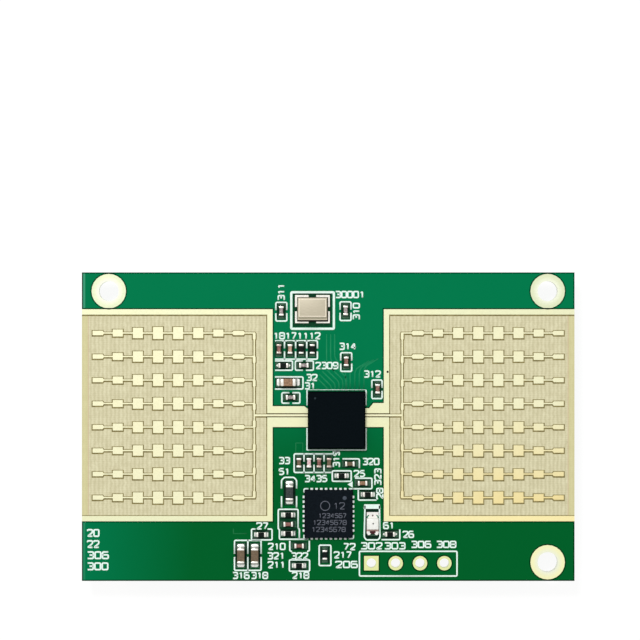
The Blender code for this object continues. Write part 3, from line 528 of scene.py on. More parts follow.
# Solder and terminals: a painted shaded colour for steep slopes, then the colour of flat tops; the
# two solders are painted lit and shaded copies of one tin.
SOLDERED = {
    "dim_solder": ((10, 42, 28), (72, 104, 82)),
    "bright_solder": ((84, 92, 84), (238, 238, 232), 0.3, 0.92),
    "tin_terminal": ((90, 88, 80), (232, 229, 220), 0.4, 0.95),
    "rosy_terminal": ((84, 70, 62), (188, 172, 162), 0.4, 0.95),
}
BRUSHED = {
    "brushed_lid": ((202, 193, 170), (178, 168, 144), 0.45, 16000.0, 2200.0, 0.12),
    "contact_brass": ((232, 208, 140), (196, 168, 104), 0.3, 9000.0, 1500.0),
    "tinned_tab": ((214, 214, 210), (176, 176, 172), 0.32, 9000.0, 1500.0),
}
FINISHES = {}


def make_finish(name):
    """Make a material from the tables, or from the colours that the panel lists."""
    for table, make in (
            (MOTTLED, mottled_finish), (SOLDERED, solder_finish), (BRUSHED, brushed_finish)):
        if name in table:
            first, second, *values = table[name]
            return make(name, display(*first), display(*second), *values)
    board, ink, _ = read_groups()
    makers = {
        "green_solder_mask": lambda: mask_finish(name, thin_edge=True),
        "mask_over_copper": lambda: mask_finish(name, lift=(0.014, 0.05, 0.03)),
        "mask_edge": lambda: mask_finish(name, depth=0.32),
        "gold_plate": lambda: gold_finish(name, board.gold_upper, board.gold_lower, 18.0, 4.0),
        "deep_gold_plate": lambda: gold_finish(
            name, board.gold_upper, display(221, 226, 160), 3.0, 8.0),
        "antenna_gold_plate": lambda: gold_finish(
            name, display(231, 228, 190), display(234, 214, 148), 20.0, 3.0),
        "pale_gold_plate": lambda: gold_finish(
            name, board.pad_upper, board.pad_lower, 3.0, 8.0,
            middle_of("mounting_ring_top_right")[:2]),
        "woven_laminate": laminate_finish,
        "etched_resin": lambda: even_finish(
            name, display(118, 106, 58), display(154, 142, 92), 0.5, 2600.0, 0.7, 7000.0, 0.003),
        "white_ink": lambda: even_finish(
            name, ink.colour, display(216, 244, 231), 0.55, 5200.0, 0.45, 9000.0, 0.004),
    }
    return makers[name]()


def finish_of(name):
    """The material of this name, made the first time that a piece asks for it."""
    if name not in FINISHES:
        FINISHES[name] = make_finish(name)
    return FINISHES[name]


def wear(finish, *nodes):
    """Give solid nodes of the frame a finish."""
    for node in nodes:
        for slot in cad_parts[node].material_slots:
            slot.material = finish_of(finish)


def add_piece(name, tool, finishes, stands_for=()):
    """Make a finished bmesh a piece of the board."""
    bmesh.ops.recalc_face_normals(tool, faces=tool.faces[:])
    mesh = bpy.data.meshes.new(name)
    tool.to_mesh(mesh)
    tool.free()
    for finish in finishes:
        mesh.materials.append(finish_of(finish))
    piece = bpy.data.objects.new(name, mesh)
    bpy.context.scene.collection.objects.link(piece)
    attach(piece, "root")
    if stands_for:
        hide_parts(*stands_for)


def middle_of(*nodes):
    """Centre of the box round these nodes."""
    boxes = [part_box(node) for node in nodes]
    low = [min(box[0][axis] for box in boxes) for axis in range(3)]
    high = [max(box[1][axis] for box in boxes) for axis in range(3)]
    return Vector((a + b) / 2 for a, b in zip(low, high))


def add_block(tool, low, high, edge=0.0, slot=0, segments=2, smooth=False):
    """Add a box between two corners, its edges broken by a small round."""
    known = set(tool.faces)
    size = [b - a for a, b in zip(low, high)]
    centre = [(a + b) / 2 for a, b in zip(low, high)]
    place = Matrix.Translation(centre) @ Matrix.Diagonal((*size, 1.0))
    corners = bmesh.ops.create_cube(tool, size=1.0, matrix=place)["verts"]
    if edge:
        edges = list({e for corner in corners for e in corner.link_edges})
        bmesh.ops.bevel(tool, geom=edges, offset=edge, offset_type="OFFSET", segments=segments,
                        profile=0.5, affect="EDGES", material=-1)
    for face in tool.faces:
        if face not in known:
            face.material_index = slot
            face.smooth = smooth


def add_disc(tool, x, y, radius, low, high, slot=0, sides=24):
    """Add a flat-ended cylinder that stands on the board."""
    known = set(tool.faces)
    place = Matrix.Translation((x, y, (low + high) / 2))
    bmesh.ops.create_cone(tool, cap_ends=True, segments=sides, radius1=radius, radius2=radius,
                          depth=high - low, matrix=place)
    for face in tool.faces:
        if face not in known:
            face.material_index = slot


def place_all(tool, x, y, z, upright):
    """Turn and move a shape that was built about its own centre to its place on the board."""
    turn = Matrix.Rotation(math.pi / 2, 4, "Z") if upright else Matrix.Identity(4)
    bmesh.ops.transform(tool, matrix=Matrix.Translation((x, y, z)) @ turn, verts=tool.verts[:])


def raise_faces(tool, faces, height):
    """Pull flat faces up into a slab."""
    raised = bmesh.ops.extrude_face_region(tool, geom=faces)["geom"]
    corners = [item for item in raised if isinstance(item, bmesh.types.BMVert)]
    bmesh.ops.translate(tool, verts=corners, vec=(0.0, 0.0, height))


def rounded(points, radius, closed=False, steps=3):
    """A stroke along these points, (points, closed), with each corner a short curve."""
    count = len(points)
    path = []
    for index, point in enumerate(points):
        corner = Vector(point)
        if not closed and index in (0, count - 1):
            path.append(corner)
            continue
        before = Vector(points[index - 1]) - corner
        after = Vector(points[(index + 1) % count]) - corner
        reach = min(radius, before.length / 2, after.length / 2)
        start = corner + before.normalized() * reach
        end = corner + after.normalized() * reach
        for step in range(steps + 1):
            share = step / steps
            path.append(start.lerp(corner, share).lerp(corner.lerp(end, share), share))
    return path, closed


def arc_points(x, y, radius, start, end, steps):
    """Points along part of a circle, angles in radians from +X."""
    angles = [start + (end - start) * step / steps for step in range(steps + 1)]
    return [(x + radius * math.cos(angle), y + radius * math.sin(angle)) for angle in angles]


def circle(x, y, radius, steps):
    """A closed stroke round a place."""
    return arc_points(x, y, radius, 0.0, math.tau, steps)[:-1], True


def print_strokes(name, strokes, width, height, base, finish):
    """Lay flat strips with softened edges along strokes: (points in metres, closed) each."""
    curve = bpy.data.curves.new(name, "CURVE")
    curve.dimensions = "3D"
    curve.twist_mode = "Z_UP"
    curve.bevel_depth = height
    curve.bevel_resolution = 1
    curve.extrude = width / 2 - height
    curve.use_fill_caps = True
    for points, closed in strokes:
        spline = curve.splines.new("POLY")
        spline.points.add(len(points) - 1)
        for item, (x, y) in zip(spline.points, points):
            item.co = (x, y, base, 1.0)
            item.tilt = math.pi / 2
        spline.use_cyclic_u = closed
    drawn = bpy.data.objects.new(name + "_path", curve)
    bpy.context.scene.collection.objects.link(drawn)
    bpy.context.view_layer.update()
    solid = drawn.evaluated_get(bpy.context.evaluated_depsgraph_get())
    mesh = bpy.data.meshes.new_from_object(solid)
    bpy.data.objects.remove(drawn)
    tool = bmesh.new()
    tool.from_mesh(mesh)
    bpy.data.meshes.remove(mesh)
    bmesh.ops.remove_doubles(tool, verts=tool.verts[:], dist=SAME_PLACE)
    add_piece(name, tool, [finish])


def print_white(name, strokes, width, level=FRONT):
    """Print strokes in white ink on the mask."""
    _, ink, _ = read_groups()
    print_strokes(name, strokes, width, ink.height, level, "white_ink")


def edge_line(name, node, level, width, height, finish, drop=0.0):
    """A thin strip along every edge of a node's flat face at this level.

    The strip lies inside the face, or outside it where the width is negative.
    Its far side is moved down the board by the shadow drop, so it is wider below than above: a
    painted shadow under the copper's lower edges.
    """
    tool = bmesh.new()
    tool.from_mesh(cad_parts[node].data)
    bmesh.ops.remove_doubles(tool, verts=tool.verts[:], dist=SAME_PLACE)
    others = [face for face in tool.faces
              if any(abs(corner.co.z - level) > SAME_LEVEL for corner in face.verts)]
    bmesh.ops.delete(tool, geom=others, context="FACES")
    bmesh.ops.dissolve_limit(tool, angle_limit=0.01, verts=tool.verts[:], edges=tool.edges[:])
    flat = tool.faces[:]
    if not flat:
        raise RuntimeError(f"{node} has no flat face at {level}")
    bmesh.ops.inset_region(tool, faces=flat, thickness=width, use_boundary=True,
                           use_even_offset=True)
    for corner in {corner for face in flat for corner in face.verts}:
        corner.co.y -= drop
    bmesh.ops.delete(tool, geom=flat, context="FACES")
    beyond = [face for face in tool.faces
              if abs(face.calc_center_median().x) > EDGE_X + SAME_LEVEL]
    bmesh.ops.delete(tool, geom=beyond, context="FACES")
    for corner in tool.verts:
        corner.co.x = max(-EDGE_X, min(EDGE_X, corner.co.x))
    raise_faces(tool, tool.faces[:], height)
    add_piece(name, tool, [finish])


# Digits on a cell one unit high: each a list of strokes, (points, closed)
CELL = 0.74
DIGITS = {
    "0": [(((0, 0), (CELL, 0), (CELL, 1), (0, 1)), True)],
    "1": [(((0.18, 0.76), (0.42, 1), (0.42, 0)), False)],
    "2": [(((0, 0.78), (0, 1), (CELL, 1), (CELL, 0.58), (0, 0), (CELL, 0)), False)],
    "3": [(((0, 1), (CELL, 1), (CELL, 0), (0, 0)), False), (((0.24, 0.52), (CELL, 0.52)), False)],
    "4": [(((0.54, 0), (0.54, 1), (0, 0.32), (CELL, 0.32)), False)],
    "5": [(((CELL, 1), (0.08, 1)), False), (((0.08, 1), (0.02, 0.56)), False),
          (((0.02, 0.56), (0.4, 0.62), (CELL, 0.5), (CELL, 0.12), (0.4, 0), (0, 0.05)), False)],
    "6": [(((CELL, 1), (0, 1), (0, 0), (CELL, 0), (CELL, 0.56), (0, 0.56)), False)],
    "7": [(((0, 1), (CELL, 1), (0.24, 0)), False)],
    "8": [(((0, 0), (CELL, 0), (CELL, 1), (0, 1)), True), (((0, 0.52), (CELL, 0.52)), False)],
    "9": [(((0, 0), (CELL, 0), (CELL, 1), (0, 1), (0, 0.44), (CELL, 0.44)), False)],
}
DIGIT_ROUND = 0.17
DIGIT_SPACE = 0.23

# Numbers printed beside the parts: text, part, steps right and up from its centre, how much
# wider than usual they are set, and whether they read upwards
Number = namedtuple("Number", "text part right up wide turned", defaults=(1.0, False))
NUMBERS = [Number(*row) for row in (
    ("311", "crystal_capacitor_left", -0.01, 1.97, 1.0, True),
    ("30001", "crystal_base", 3.93, 1.52, 1.04),
    ("310", "crystal_capacitor_right", 1.12, -0.10, 1.0, True),
    ("18171112", "filter_part_3", -0.45, 1.37, 1.03),
    ("2309", "loop_capacitor", 2.40, -0.03),
    ("314", "reference_capacitor", 0.15, 1.56),
    ("32", "bulk_capacitor", 2.46, 0.50),
    ("31", "bulk_capacitor", 2.27, -0.37),
    ("312", "supply_capacitor_right", -0.55, 1.53),
    ("33", "decoupling_capacitor_1", -1.53, 0.21),
    ("51", "ferrite_bead", -0.54, 2.18),
    ("3435", "decoupling_capacitor_3", -0.33, -1.67),
    ("315", "decoupling_capacitor_4", 0.76, 0.37, 1.0, True),
    ("320", "supply_capacitor_below", 2.19, 0.23),
    ("25", "bias_resistor_above", 1.85, 0.21),
    ("323", "core_capacitor", 1.60, 0.62, 1.0, True),
    ("28", "bias_resistor_beside", 1.25, 0.09, 1.0, True),
    ("61", "status_led", 1.69, -0.19),
    ("26", "led_resistor", 1.91, -0.03),
    ("302", "header_pad_1", 0.02, 1.81, 1.30),
    ("303", "header_pad_2", -0.09, 1.81, 1.26),
    ("306", "header_pad_3", 0.11, 1.96, 1.20),
    ("308", "header_pad_4", 0.20, 1.96, 1.18),
    ("72", "microcontroller", 2.18, -3.44, 1.10),
    ("217", "boot_resistor_high", 1.88, -0.02, 1.06),
    ("206", "boot_resistor_high", 2.27, -1.02, 1.34),
    ("210", "reset_resistor_lower", -1.20, -1.36, 1.03),
    ("321", "reset_resistor_lower", -1.27, -2.34, 1.05),
    ("211", "reset_resistor_lower", -1.22, -3.27, 1.04),
    ("322", "corner_capacitor", 0.04, -1.07),
    ("218", "boot_resistor_low", 0.17, -1.03),
    ("316", "input_capacitor_1", 0.01, -2.08),
    ("318", "input_capacitor_2", 0.49, -2.08),
    ("27", "input_resistor", 0.12, 0.90, 1.08),
)]
# The column of numbers at the lower left corner, and how much wider than usual each is set
TERMINAL_NUMBERS = (("20", 1.0), ("22", 1.0), ("306", 1.18), ("300", 1.15))
TERMINAL_LEFT = 0.60
TERMINAL_FIRST_UP = 5.00
TERMINAL_PITCH = 1.16
TERMINAL_HEIGHT = 0.68

# Printed boxes: style, how far they reach left, down, right and up from the centre of the part
# or row that they go round, and that part or the two ends of that row
SMALL_UPRIGHT = ("split", 0.64, 1.12, 0.64, 0.96)
OUTLINES = (
    (*SMALL_UPRIGHT, "crystal_capacitor_left"),
    (*SMALL_UPRIGHT, "crystal_capacitor_right"),
    (*SMALL_UPRIGHT, "reference_capacitor"),
    ("split", 0.66, 1.10, 0.54, 0.97, "supply_capacitor_right"),
    ("notched", 2.22, 1.14, 2.34, 0.92, "filter_part_1", "filter_part_4"),
    ("open", 0.94, 0.57, 1.02, 0.54, "loop_resistor"),
    ("split", 0.95, 0.59, 1.06, 0.52, "loop_capacitor"),
    ("open", 1.45, 0.77, 1.61, 0.63, "bulk_capacitor"),
    ("split", 0.98, 0.69, 1.03, 0.54, "supply_capacitor_left"),
    ("closed", 1.04, 0.66, 1.07, 0.57, "bias_resistor_above"),
    ("closed", 1.07, 0.66, 1.18, 0.66, "boot_resistor_low"),
    ("closed", 0.65, 1.20, 0.71, 1.06, "boot_resistor_high"),
    ("split", 1.46, 1.62, 1.45, 1.65, "input_capacitor_1", "input_capacitor_2"),
    ("closed", 5.12, 1.41, 5.20, 1.31, "header_pad_1", "header_pad_4"),
)
CORNER_ROUND = 0.14
HALF_LINE = 0.07
SPLIT_GAP = 0.32
# Rows of parts: name, how many, and how far the lines between them reach down and up
ROWS = (
    ("filter_part", 4, 1.12, 0.92),
    ("decoupling_capacitor", 4, 1.09, 0.97),
    ("input_capacitor", 2, 1.62, 1.65),
)


def beside(x, y, *steps):
    """Points at these steps, in millimetres, from a place."""
    return [(x + right * MM, y + up * MM) for right, up in steps]


def about(part, *steps):
    """Points at these steps, in millimetres, from a part's centre."""
    return beside(*middle_of(part)[:2], *steps)


def outline_strokes(style, left, down, right, up, *parts):
    """The strokes of one printed box."""
    centre = middle_of(*parts)
    west, south = HALF_LINE - left, HALF_LINE - down
    east, north = right - HALF_LINE, up - HALF_LINE
    across, along, gap = (west + east) / 2, (south + north) / 2, SPLIT_GAP / 2
    if style == "open":
        paths = [((west, south), (east, south), (east, north), (west, north))]
    elif style == "notched":
        paths = [((west, south), (east, south), (east, along - gap)),
                 ((east, along + gap), (east, north), (west, north))]
    elif style == "closed":
        paths = [((across, south), (east, south), (east, north), (west, north), (west, south),
                  (across, south))]
    elif north - south > east - west:
        paths = [((west, along + gap * side), (west, end), (east, end), (east, along + gap * side))
                 for side, end in ((-1, south), (1, north))]
    else:
        paths = [((across + gap * side, south), (end, south), (end, north),
                  (across + gap * side, north)) for side, end in ((-1, west), (1, east))]
    return [beside(centre.x, centre.y, *path) for path in paths]


def row_strokes():
    """Lines between the parts of a row, each broken at its middle."""
    strokes = []
    for row, count, down, up in ROWS:
        for place in range(1, count):
            first, last = (middle_of(f"{row}_{number}") for number in (place, place + 1))
            middle, half_gap = (up - down) / 2, SPLIT_GAP / 2
            for start, end in ((-down, middle - half_gap), (middle + half_gap, up)):
                strokes.append(beside((first.x + last.x) / 2, first.y, (0.0, start), (0.0, end)))
    return strokes


def odd_strokes():
    """Printed lines that follow no plain box."""
    return [
        about("decoupling_capacitor_4", (0.42, 0.91), (-3.64, 0.91), (-3.64, -1.03), (0.30, -1.03)),
        about("supply_capacitor_below", (-0.77, 0.51), (0.99, 0.51), (0.99, -0.46)),
        about("core_capacitor", (-0.79, 0.50), (0.98, 0.50), (0.98, -0.60), (-1.04, -0.60)),
        about("bias_resistor_beside", (-0.99, 0.46), (-0.99, -0.59), (0.92, -0.59)),
        about("ferrite_bead", (-0.83, 0.42), (-0.83, 1.29), (-0.54, 1.58), (0.46, 1.58),
              (0.74, 1.29), (0.74, 0.42)),
        about("ferrite_bead", (-0.83, -0.38), (-0.83, -1.56)),
        about("ferrite_bead", (0.74, -0.38), (0.74, -1.56)),
        about("reset_capacitor", (1.03, -0.44), (1.03, 1.54), (-1.04, 1.54), (-1.04, -0.50),
              (-0.92, -0.56), (-0.92, -1.58), (2.02, -1.58)),
        about("reset_capacitor", (1.03, -0.44), (1.16, -0.50), (1.16, -1.54)),
        about("corner_capacitor", (-0.74, -0.61), (-0.98, -0.54), (-0.98, 0.52)),
        about("corner_capacitor", (0.82, -0.61), (1.06, -0.54), (1.06, 0.52)),
        about("input_resistor", (-0.60, 0.57), (-1.01, 0.57), (-1.01, -0.56), (1.13, -0.56),
              (1.13, 0.57), (0.66, 0.57)),
        about("led_resistor", (-0.89, -0.58), (1.02, -0.58), (1.02, 0.50)),
        about("microcontroller", (-2.55, 2.20), (-2.55, 2.60), (-2.10, 2.60)),
        about("microcontroller", (-2.55, -2.20), (-2.55, -2.64), (-2.10, -2.64)),
        about("microcontroller", (2.60, -2.22), (2.60, -2.60), (2.12, -2.60)),
        about("microcontroller", (2.12, 2.60), (2.60, 2.60)),
        about("status_led", (-0.80, 1.89), (-0.88, -1.39), (-0.66, -1.69), (0.56, -1.69),
              (0.76, -1.44), (0.70, 1.89)),
    ]


def number_strokes(text, x, y, height, turned=False, wide=1.0):
    """Strokes of a number centred on a place."""
    step = CELL + DIGIT_SPACE
    width = step * len(text) - DIGIT_SPACE
    strokes = []
    for place, digit in enumerate(text):
        for points, closed in DIGITS[digit]:
            drawn = [((px + place * step - width / 2) * wide, py - 0.5) for px, py in points]
            if turned:
                drawn = [(-py, px) for px, py in drawn]
            placed = [(x + px * height, y + py * height) for px, py in drawn]
            strokes.append(rounded(placed, DIGIT_ROUND * height, closed, 2))
    return strokes


class RADARBOARD_OT_dress_laminate(bpy.types.Operator):
    """Show the glass weave on the bare laminate and the dark lines beside the etched copper, partly
    resin and partly painted shadow
    """
    bl_idname = "radar_board.dress_laminate"
    bl_label = "Dress Laminate"

    LINE_HEIGHT = 0.010 * MM
    # Painted shadow: the dark line is moved down the board, so it is wider below the copper.
    LINE_DROP = 0.04 * MM

    def execute(self, context):
        wear("woven_laminate", "laminate_board")
        width = context.scene.radar_board_finish.etched_edge
        for node in ANTENNA_NODES + FRAME_NODES:
            edge_line("resin_line_" + node, node, BARE, -width, self.LINE_HEIGHT,
                      "etched_resin", self.LINE_DROP)
        return {"FINISHED"}


class RADARBOARD_OT_dress_mask(bpy.types.Operator):
    """Give both sides of the board their green mask, and darken its edges"""
    bl_idname = "radar_board.dress_mask"
    bl_label = "Dress Solder Mask"

    EDGE_HEIGHT = 0.003 * MM
    RING_LINE = 0.11 * MM
    RING_HEIGHT = 0.002 * MM
    RING_STEPS = 48

    def execute(self, context):
        wear("green_solder_mask", "front_solder_mask", "rear_solder_mask")
        edge_line("mask_edge_line", "front_solder_mask", FRONT,
                  context.scene.radar_board_finish.mask_edge, self.EDGE_HEIGHT, "mask_edge")
        # Dark line round each mounting ring: a clearance in the mask, partly painted shadow of the
        # mask's edge.
        rings = []
        for node in RING_NODES:
            low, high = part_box(node)
            rings.append(circle(*middle_of(node)[:2], (high.x - low.x + self.RING_LINE) / 2,
                                self.RING_STEPS))
        print_strokes("ring_lines", rings, self.RING_LINE, self.RING_HEIGHT, FRONT,
                      "deep_opening")
        return {"FINISHED"}


class RADARBOARD_OT_plate_gold(bpy.types.Operator):
    """Plate the antennas, the frames, the rings and the header pads with gold"""
    bl_idname = "radar_board.plate_gold"
    bl_label = "Plate Gold"

    def execute(self, context):
        wear("antenna_gold_plate", *ANTENNA_NODES)
        wear("gold_plate", *FRAME_NODES)
        wear("pale_gold_plate", *RING_NODES)
        wear("deep_gold_plate", *(f"header_pad_{pin}" for pin in range(1, 5)))
        return {"FINISHED"}


class RADARBOARD_OT_lay_traces(bpy.types.Operator):
    """Lay the copper tracks that show faintly through the mask"""
    bl_idname = "radar_board.lay_traces"
    bl_label = "Lay Covered Tracks"

    TRACK_WIDTH = 0.13 * MM
    VIA_RADIUS = 0.12 * MM
    VIA_SINK = 0.01 * MM
    VIA_RISE = 0.003 * MM

    def execute(self, context):
        low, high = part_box("radar_chip")
        strokes = []
        for lead in range(6):
            column, rise, run = 2.05 + 0.40 * lead, 0.30 + 0.22 * lead, 1.15 + 0.10 * lead
            path = beside(low.x, high.y, (column, 0.0), (column, rise),
                          (column - run, rise + run))
            strokes.append(rounded(path, 0.3 * MM))
        for lead in range(3):
            column, rise = 1.96 + 0.42 * lead, 0.25 * lead
            path = beside(low.x, high.y, (column, 5.95), (column, 2.95 + rise),
                          (column + 0.8, 2.1 + rise))
            strokes.append(rounded(path, 0.4 * MM))
        for lead in range(5):
            column, top = -0.14 - 0.48 * lead, 2.5 - 0.12 * lead
            steps = [(column, 0.0), (column, top)]
            if lead < 3:
                steps.append((column + 1.5, top + 0.9))
            strokes.append(rounded(beside(high.x, high.y, *steps), 0.5 * MM))
        strokes.append((about("radar_chip", (-4.25, -2.41), (-4.25, -3.46), (-3.52, -3.46),
                              (-3.52, -2.41)), True))
        strokes.append((about("input_resistor", (-2.9, 0.6), (-2.9, 0.1), (-1.5, 0.1)), False))
        print_strokes("covered_tracks", strokes, self.TRACK_WIDTH, TRACK_HEIGHT, FRONT,
                      "mask_over_copper")
        tool = bmesh.new()
        (x, y), = about("supply_capacitor_right", (1.05, 1.76))
        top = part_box("right_upper_ground_frame")[1].z
        add_disc(tool, x, y, self.VIA_RADIUS, top - self.VIA_SINK, top + self.VIA_RISE)
        add_piece("drilled_via", tool, ["drilled_via"])
        return {"FINISHED"}


class RADARBOARD_OT_print_ink(bpy.types.Operator):
    """Print the white outlines, marks and numbers"""
    bl_idname = "radar_board.print_ink"
    bl_label = "Print White Ink"

    def execute(self, context):
        ink = context.scene.radar_board_ink
        plain = [stroke for outline in OUTLINES for stroke in outline_strokes(*outline)]
        plain += row_strokes() + odd_strokes()
        print_white("printed_outlines",
                    [rounded(stroke, CORNER_ROUND * MM) for stroke in plain], ink.line)
        self.print_chip_boxes(ink)
        self.print_numbers(ink)
        self.print_marks(ink)
        return {"FINISHED"}

    @staticmethod
    def print_chip_boxes(ink):
        """The heavy box round the crystal and the fine one round the radar chip."""
        box = about("crystal_base", (0.0, -2.05), (2.24, -2.05), (2.24, 1.755), (-2.20, 1.755),
                    (-2.20, -2.05), (0.0, -2.05))
        print_white("printed_crystal_box", [rounded(box, 0.1 * MM)], ink.heavy_line)
        side, top, bottom = 3.08, 3.15, -3.13
        paths = (((-side, -0.84), (-side, bottom), (side, bottom), (side, -0.84)),
                 ((-side, 1.52), (-side, top)), ((side, 1.52), (side, top)))
        print_white("printed_radar_box",
                    [rounded(about("radar_chip", *path), 0.05 * MM) for path in paths],
                    ink.fine_line)
        print_white("printed_radar_top", [(about("radar_chip", (-side, top), (side, top)), False)],
                    ink.fine_line * 0.5)

    @staticmethod
    def print_numbers(ink):
        strokes = []
        for number in NUMBERS:
            (x, y), = about(number.part, (number.right, number.up))
            strokes += number_strokes(number.text, x, y, ink.digit_height, number.turned,
                                      number.wide)
        print_white("printed_numbers", strokes, ink.line)
        strokes = []
        for place, (text, wide) in enumerate(TERMINAL_NUMBERS):
            half = ((CELL + DIGIT_SPACE) * len(text) - DIGIT_SPACE) * TERMINAL_HEIGHT * wide / 2
            (x, y), = beside(-EDGE_X, -EDGE_Y, (TERMINAL_LEFT + half,
                                                TERMINAL_FIRST_UP - place * TERMINAL_PITCH))
            strokes += number_strokes(text, x, y, TERMINAL_HEIGHT * MM, wide=wide)
        print_white("printed_terminal_numbers", strokes, ink.line * 1.06)

    @staticmethod
    def print_marks(ink):
        """The solid arrowheads that point out first terminals, and the bar over the lamp."""
        tool = bmesh.new()
        shapes = (
            about("microcontroller", (1.98, 3.05), (2.52, 3.38), (2.52, 2.72)),
            about("radar_chip", (-0.30, -3.16), (0.34, -3.16), (0.02, -3.60)),
            about("status_led", (-0.94, 1.56), (-0.88, 2.03), (0.74, 2.03), (0.82, 1.56)),
        )
        for shape in shapes:
            face = tool.faces.new([tool.verts.new((x, y, FRONT)) for x, y in shape])
            raise_faces(tool, [face], ink.height)
        add_piece("printed_marks", tool, ["white_ink"])


# Two-terminal chips: the solder beyond an end, and the metal band round it
TOE = 0.26 * MM
LARGE_TOE = 0.42 * MM
LARGE_WIDTH = 0.7 * MM
LARGE_BAND = 0.26 * MM
WIDE_BAND = 0.36 * MM
# Their edges, how far the body lies inside its ends, and the glaze on a resistor
CHIP_EDGE = 0.045 * MM
BODY_INSET = 0.02 * MM
SMALL_INSET = 0.05 * MM
GLAZE_HEIGHT = 0.03 * MM
# The pads under them, and the darker ground round the pads: partly the openings of the mask, partly
# painted shade
PAD_MARGIN = 0.07 * MM
PAD_HEIGHT = 0.02 * MM
OPENING_SIDES = 0.23 * MM
OPENING_ENDS = 0.14 * MM
# How fast solder falls away from an end, and how far up the end it climbs
STEEP, GENTLE = 4.5, 1.9
CLIMB = 0.62

# Body colour and kind of each two-terminal chip
CHIP_BODIES = {
    "crystal_capacitor_left": "grey_ceramic",
    "crystal_capacitor_right": "grey_ceramic",
    "filter_part_1": "red_ceramic",
    "filter_part_2": "rose_ceramic",
    "filter_part_3": "resistor",
    "filter_part_4": "resistor",
    "loop_resistor": "resistor",
    "loop_capacitor": "grey_ceramic",
    "reference_capacitor": "umber_ceramic",
    "bulk_capacitor": "tan_ceramic",
    "supply_capacitor_left": "grey_ceramic",
    "supply_capacitor_right": "umber_ceramic",
    "supply_capacitor_below": "brown_ceramic",
    "decoupling_capacitor_1": "brown_ceramic",
    "decoupling_capacitor_2": "blush_ceramic",
    "decoupling_capacitor_3": "red_ceramic",
    "decoupling_capacitor_4": "brown_ceramic",
    "bias_resistor_above": "resistor",
    "bias_resistor_beside": "resistor",
    "core_capacitor": "tan_ceramic",
    "ferrite_bead": "dark_ferrite",
    "reset_resistor_upper": "resistor",
    "reset_capacitor": "red_ceramic",
    "reset_resistor_lower": "resistor",
    "input_resistor": "resistor",
    "input_capacitor_1": "brown_ceramic",
    "input_capacitor_2": "brown_ceramic",
    "corner_capacitor": "red_ceramic",
    "boot_resistor_low": "resistor",
    "boot_resistor_high": "resistor",
    "led_resistor": "resistor",
}
ROSY_ENDS = {"filter_part_1", "decoupling_capacitor_3", "decoupling_capacitor_4"}
POINTED = {"loop_resistor", "led_resistor"}
BODY, TERMINAL, SOLDER, TOP, OPENING, PAD = range(6)


def add_fillet(tool, end, side, half, height, toe, power=GENTLE, pointed=False):
    """Solder that climbs the end of a chip: a hollow slope with rounded shoulders."""
    known = set(tool.faces)
    steps = 5
    face = None
    for step in range(steps + 1):
        share = step / steps
        x = side * (end + toe * share)
        top = height * (1 - share) ** power + PAD_HEIGHT * 1.5
        narrowing = 0.88 * share if pointed else 0.12 * share * share
        wide = half * (1.0 + 0.10 * math.sin(math.pi * share) - narrowing)
        section = [(x, -wide, 0.0), (x, -wide, top * 0.35), (x, -wide * 0.72, top * 0.86),
                   (x, 0.0, top), (x, wide * 0.72, top * 0.86), (x, wide, top * 0.35),
                   (x, wide, 0.0)]
        if face is None:
            face = tool.faces.new([tool.verts.new(point) for point in section])
            continue
        raised = bmesh.ops.extrude_face_region(tool, geom=[face])["geom"]
        if step > 1:
            bmesh.ops.delete(tool, geom=[face], context="FACES_ONLY")
        face = next(item for item in raised if isinstance(item, bmesh.types.BMFace))
        for corner, point in zip(face.verts, ordered_like(face, section)):
            corner.co = point
    for made in set(tool.faces) - known:
        made.material_index = SOLDER
        made.smooth = True


def ordered_like(face, section):
    """The section's points in the order of the face's corners, matched by width and height."""
    def rank(point):
        return (round(point[1] / abs(section[0][1]), 2), point[2])
    corners = sorted(range(len(face.verts)), key=lambda i: rank(face.verts[i].co))
    points = sorted(section, key=rank)
    order = [None] * len(section)
    for place, point in zip(corners, points):
        order[place] = point
    return order


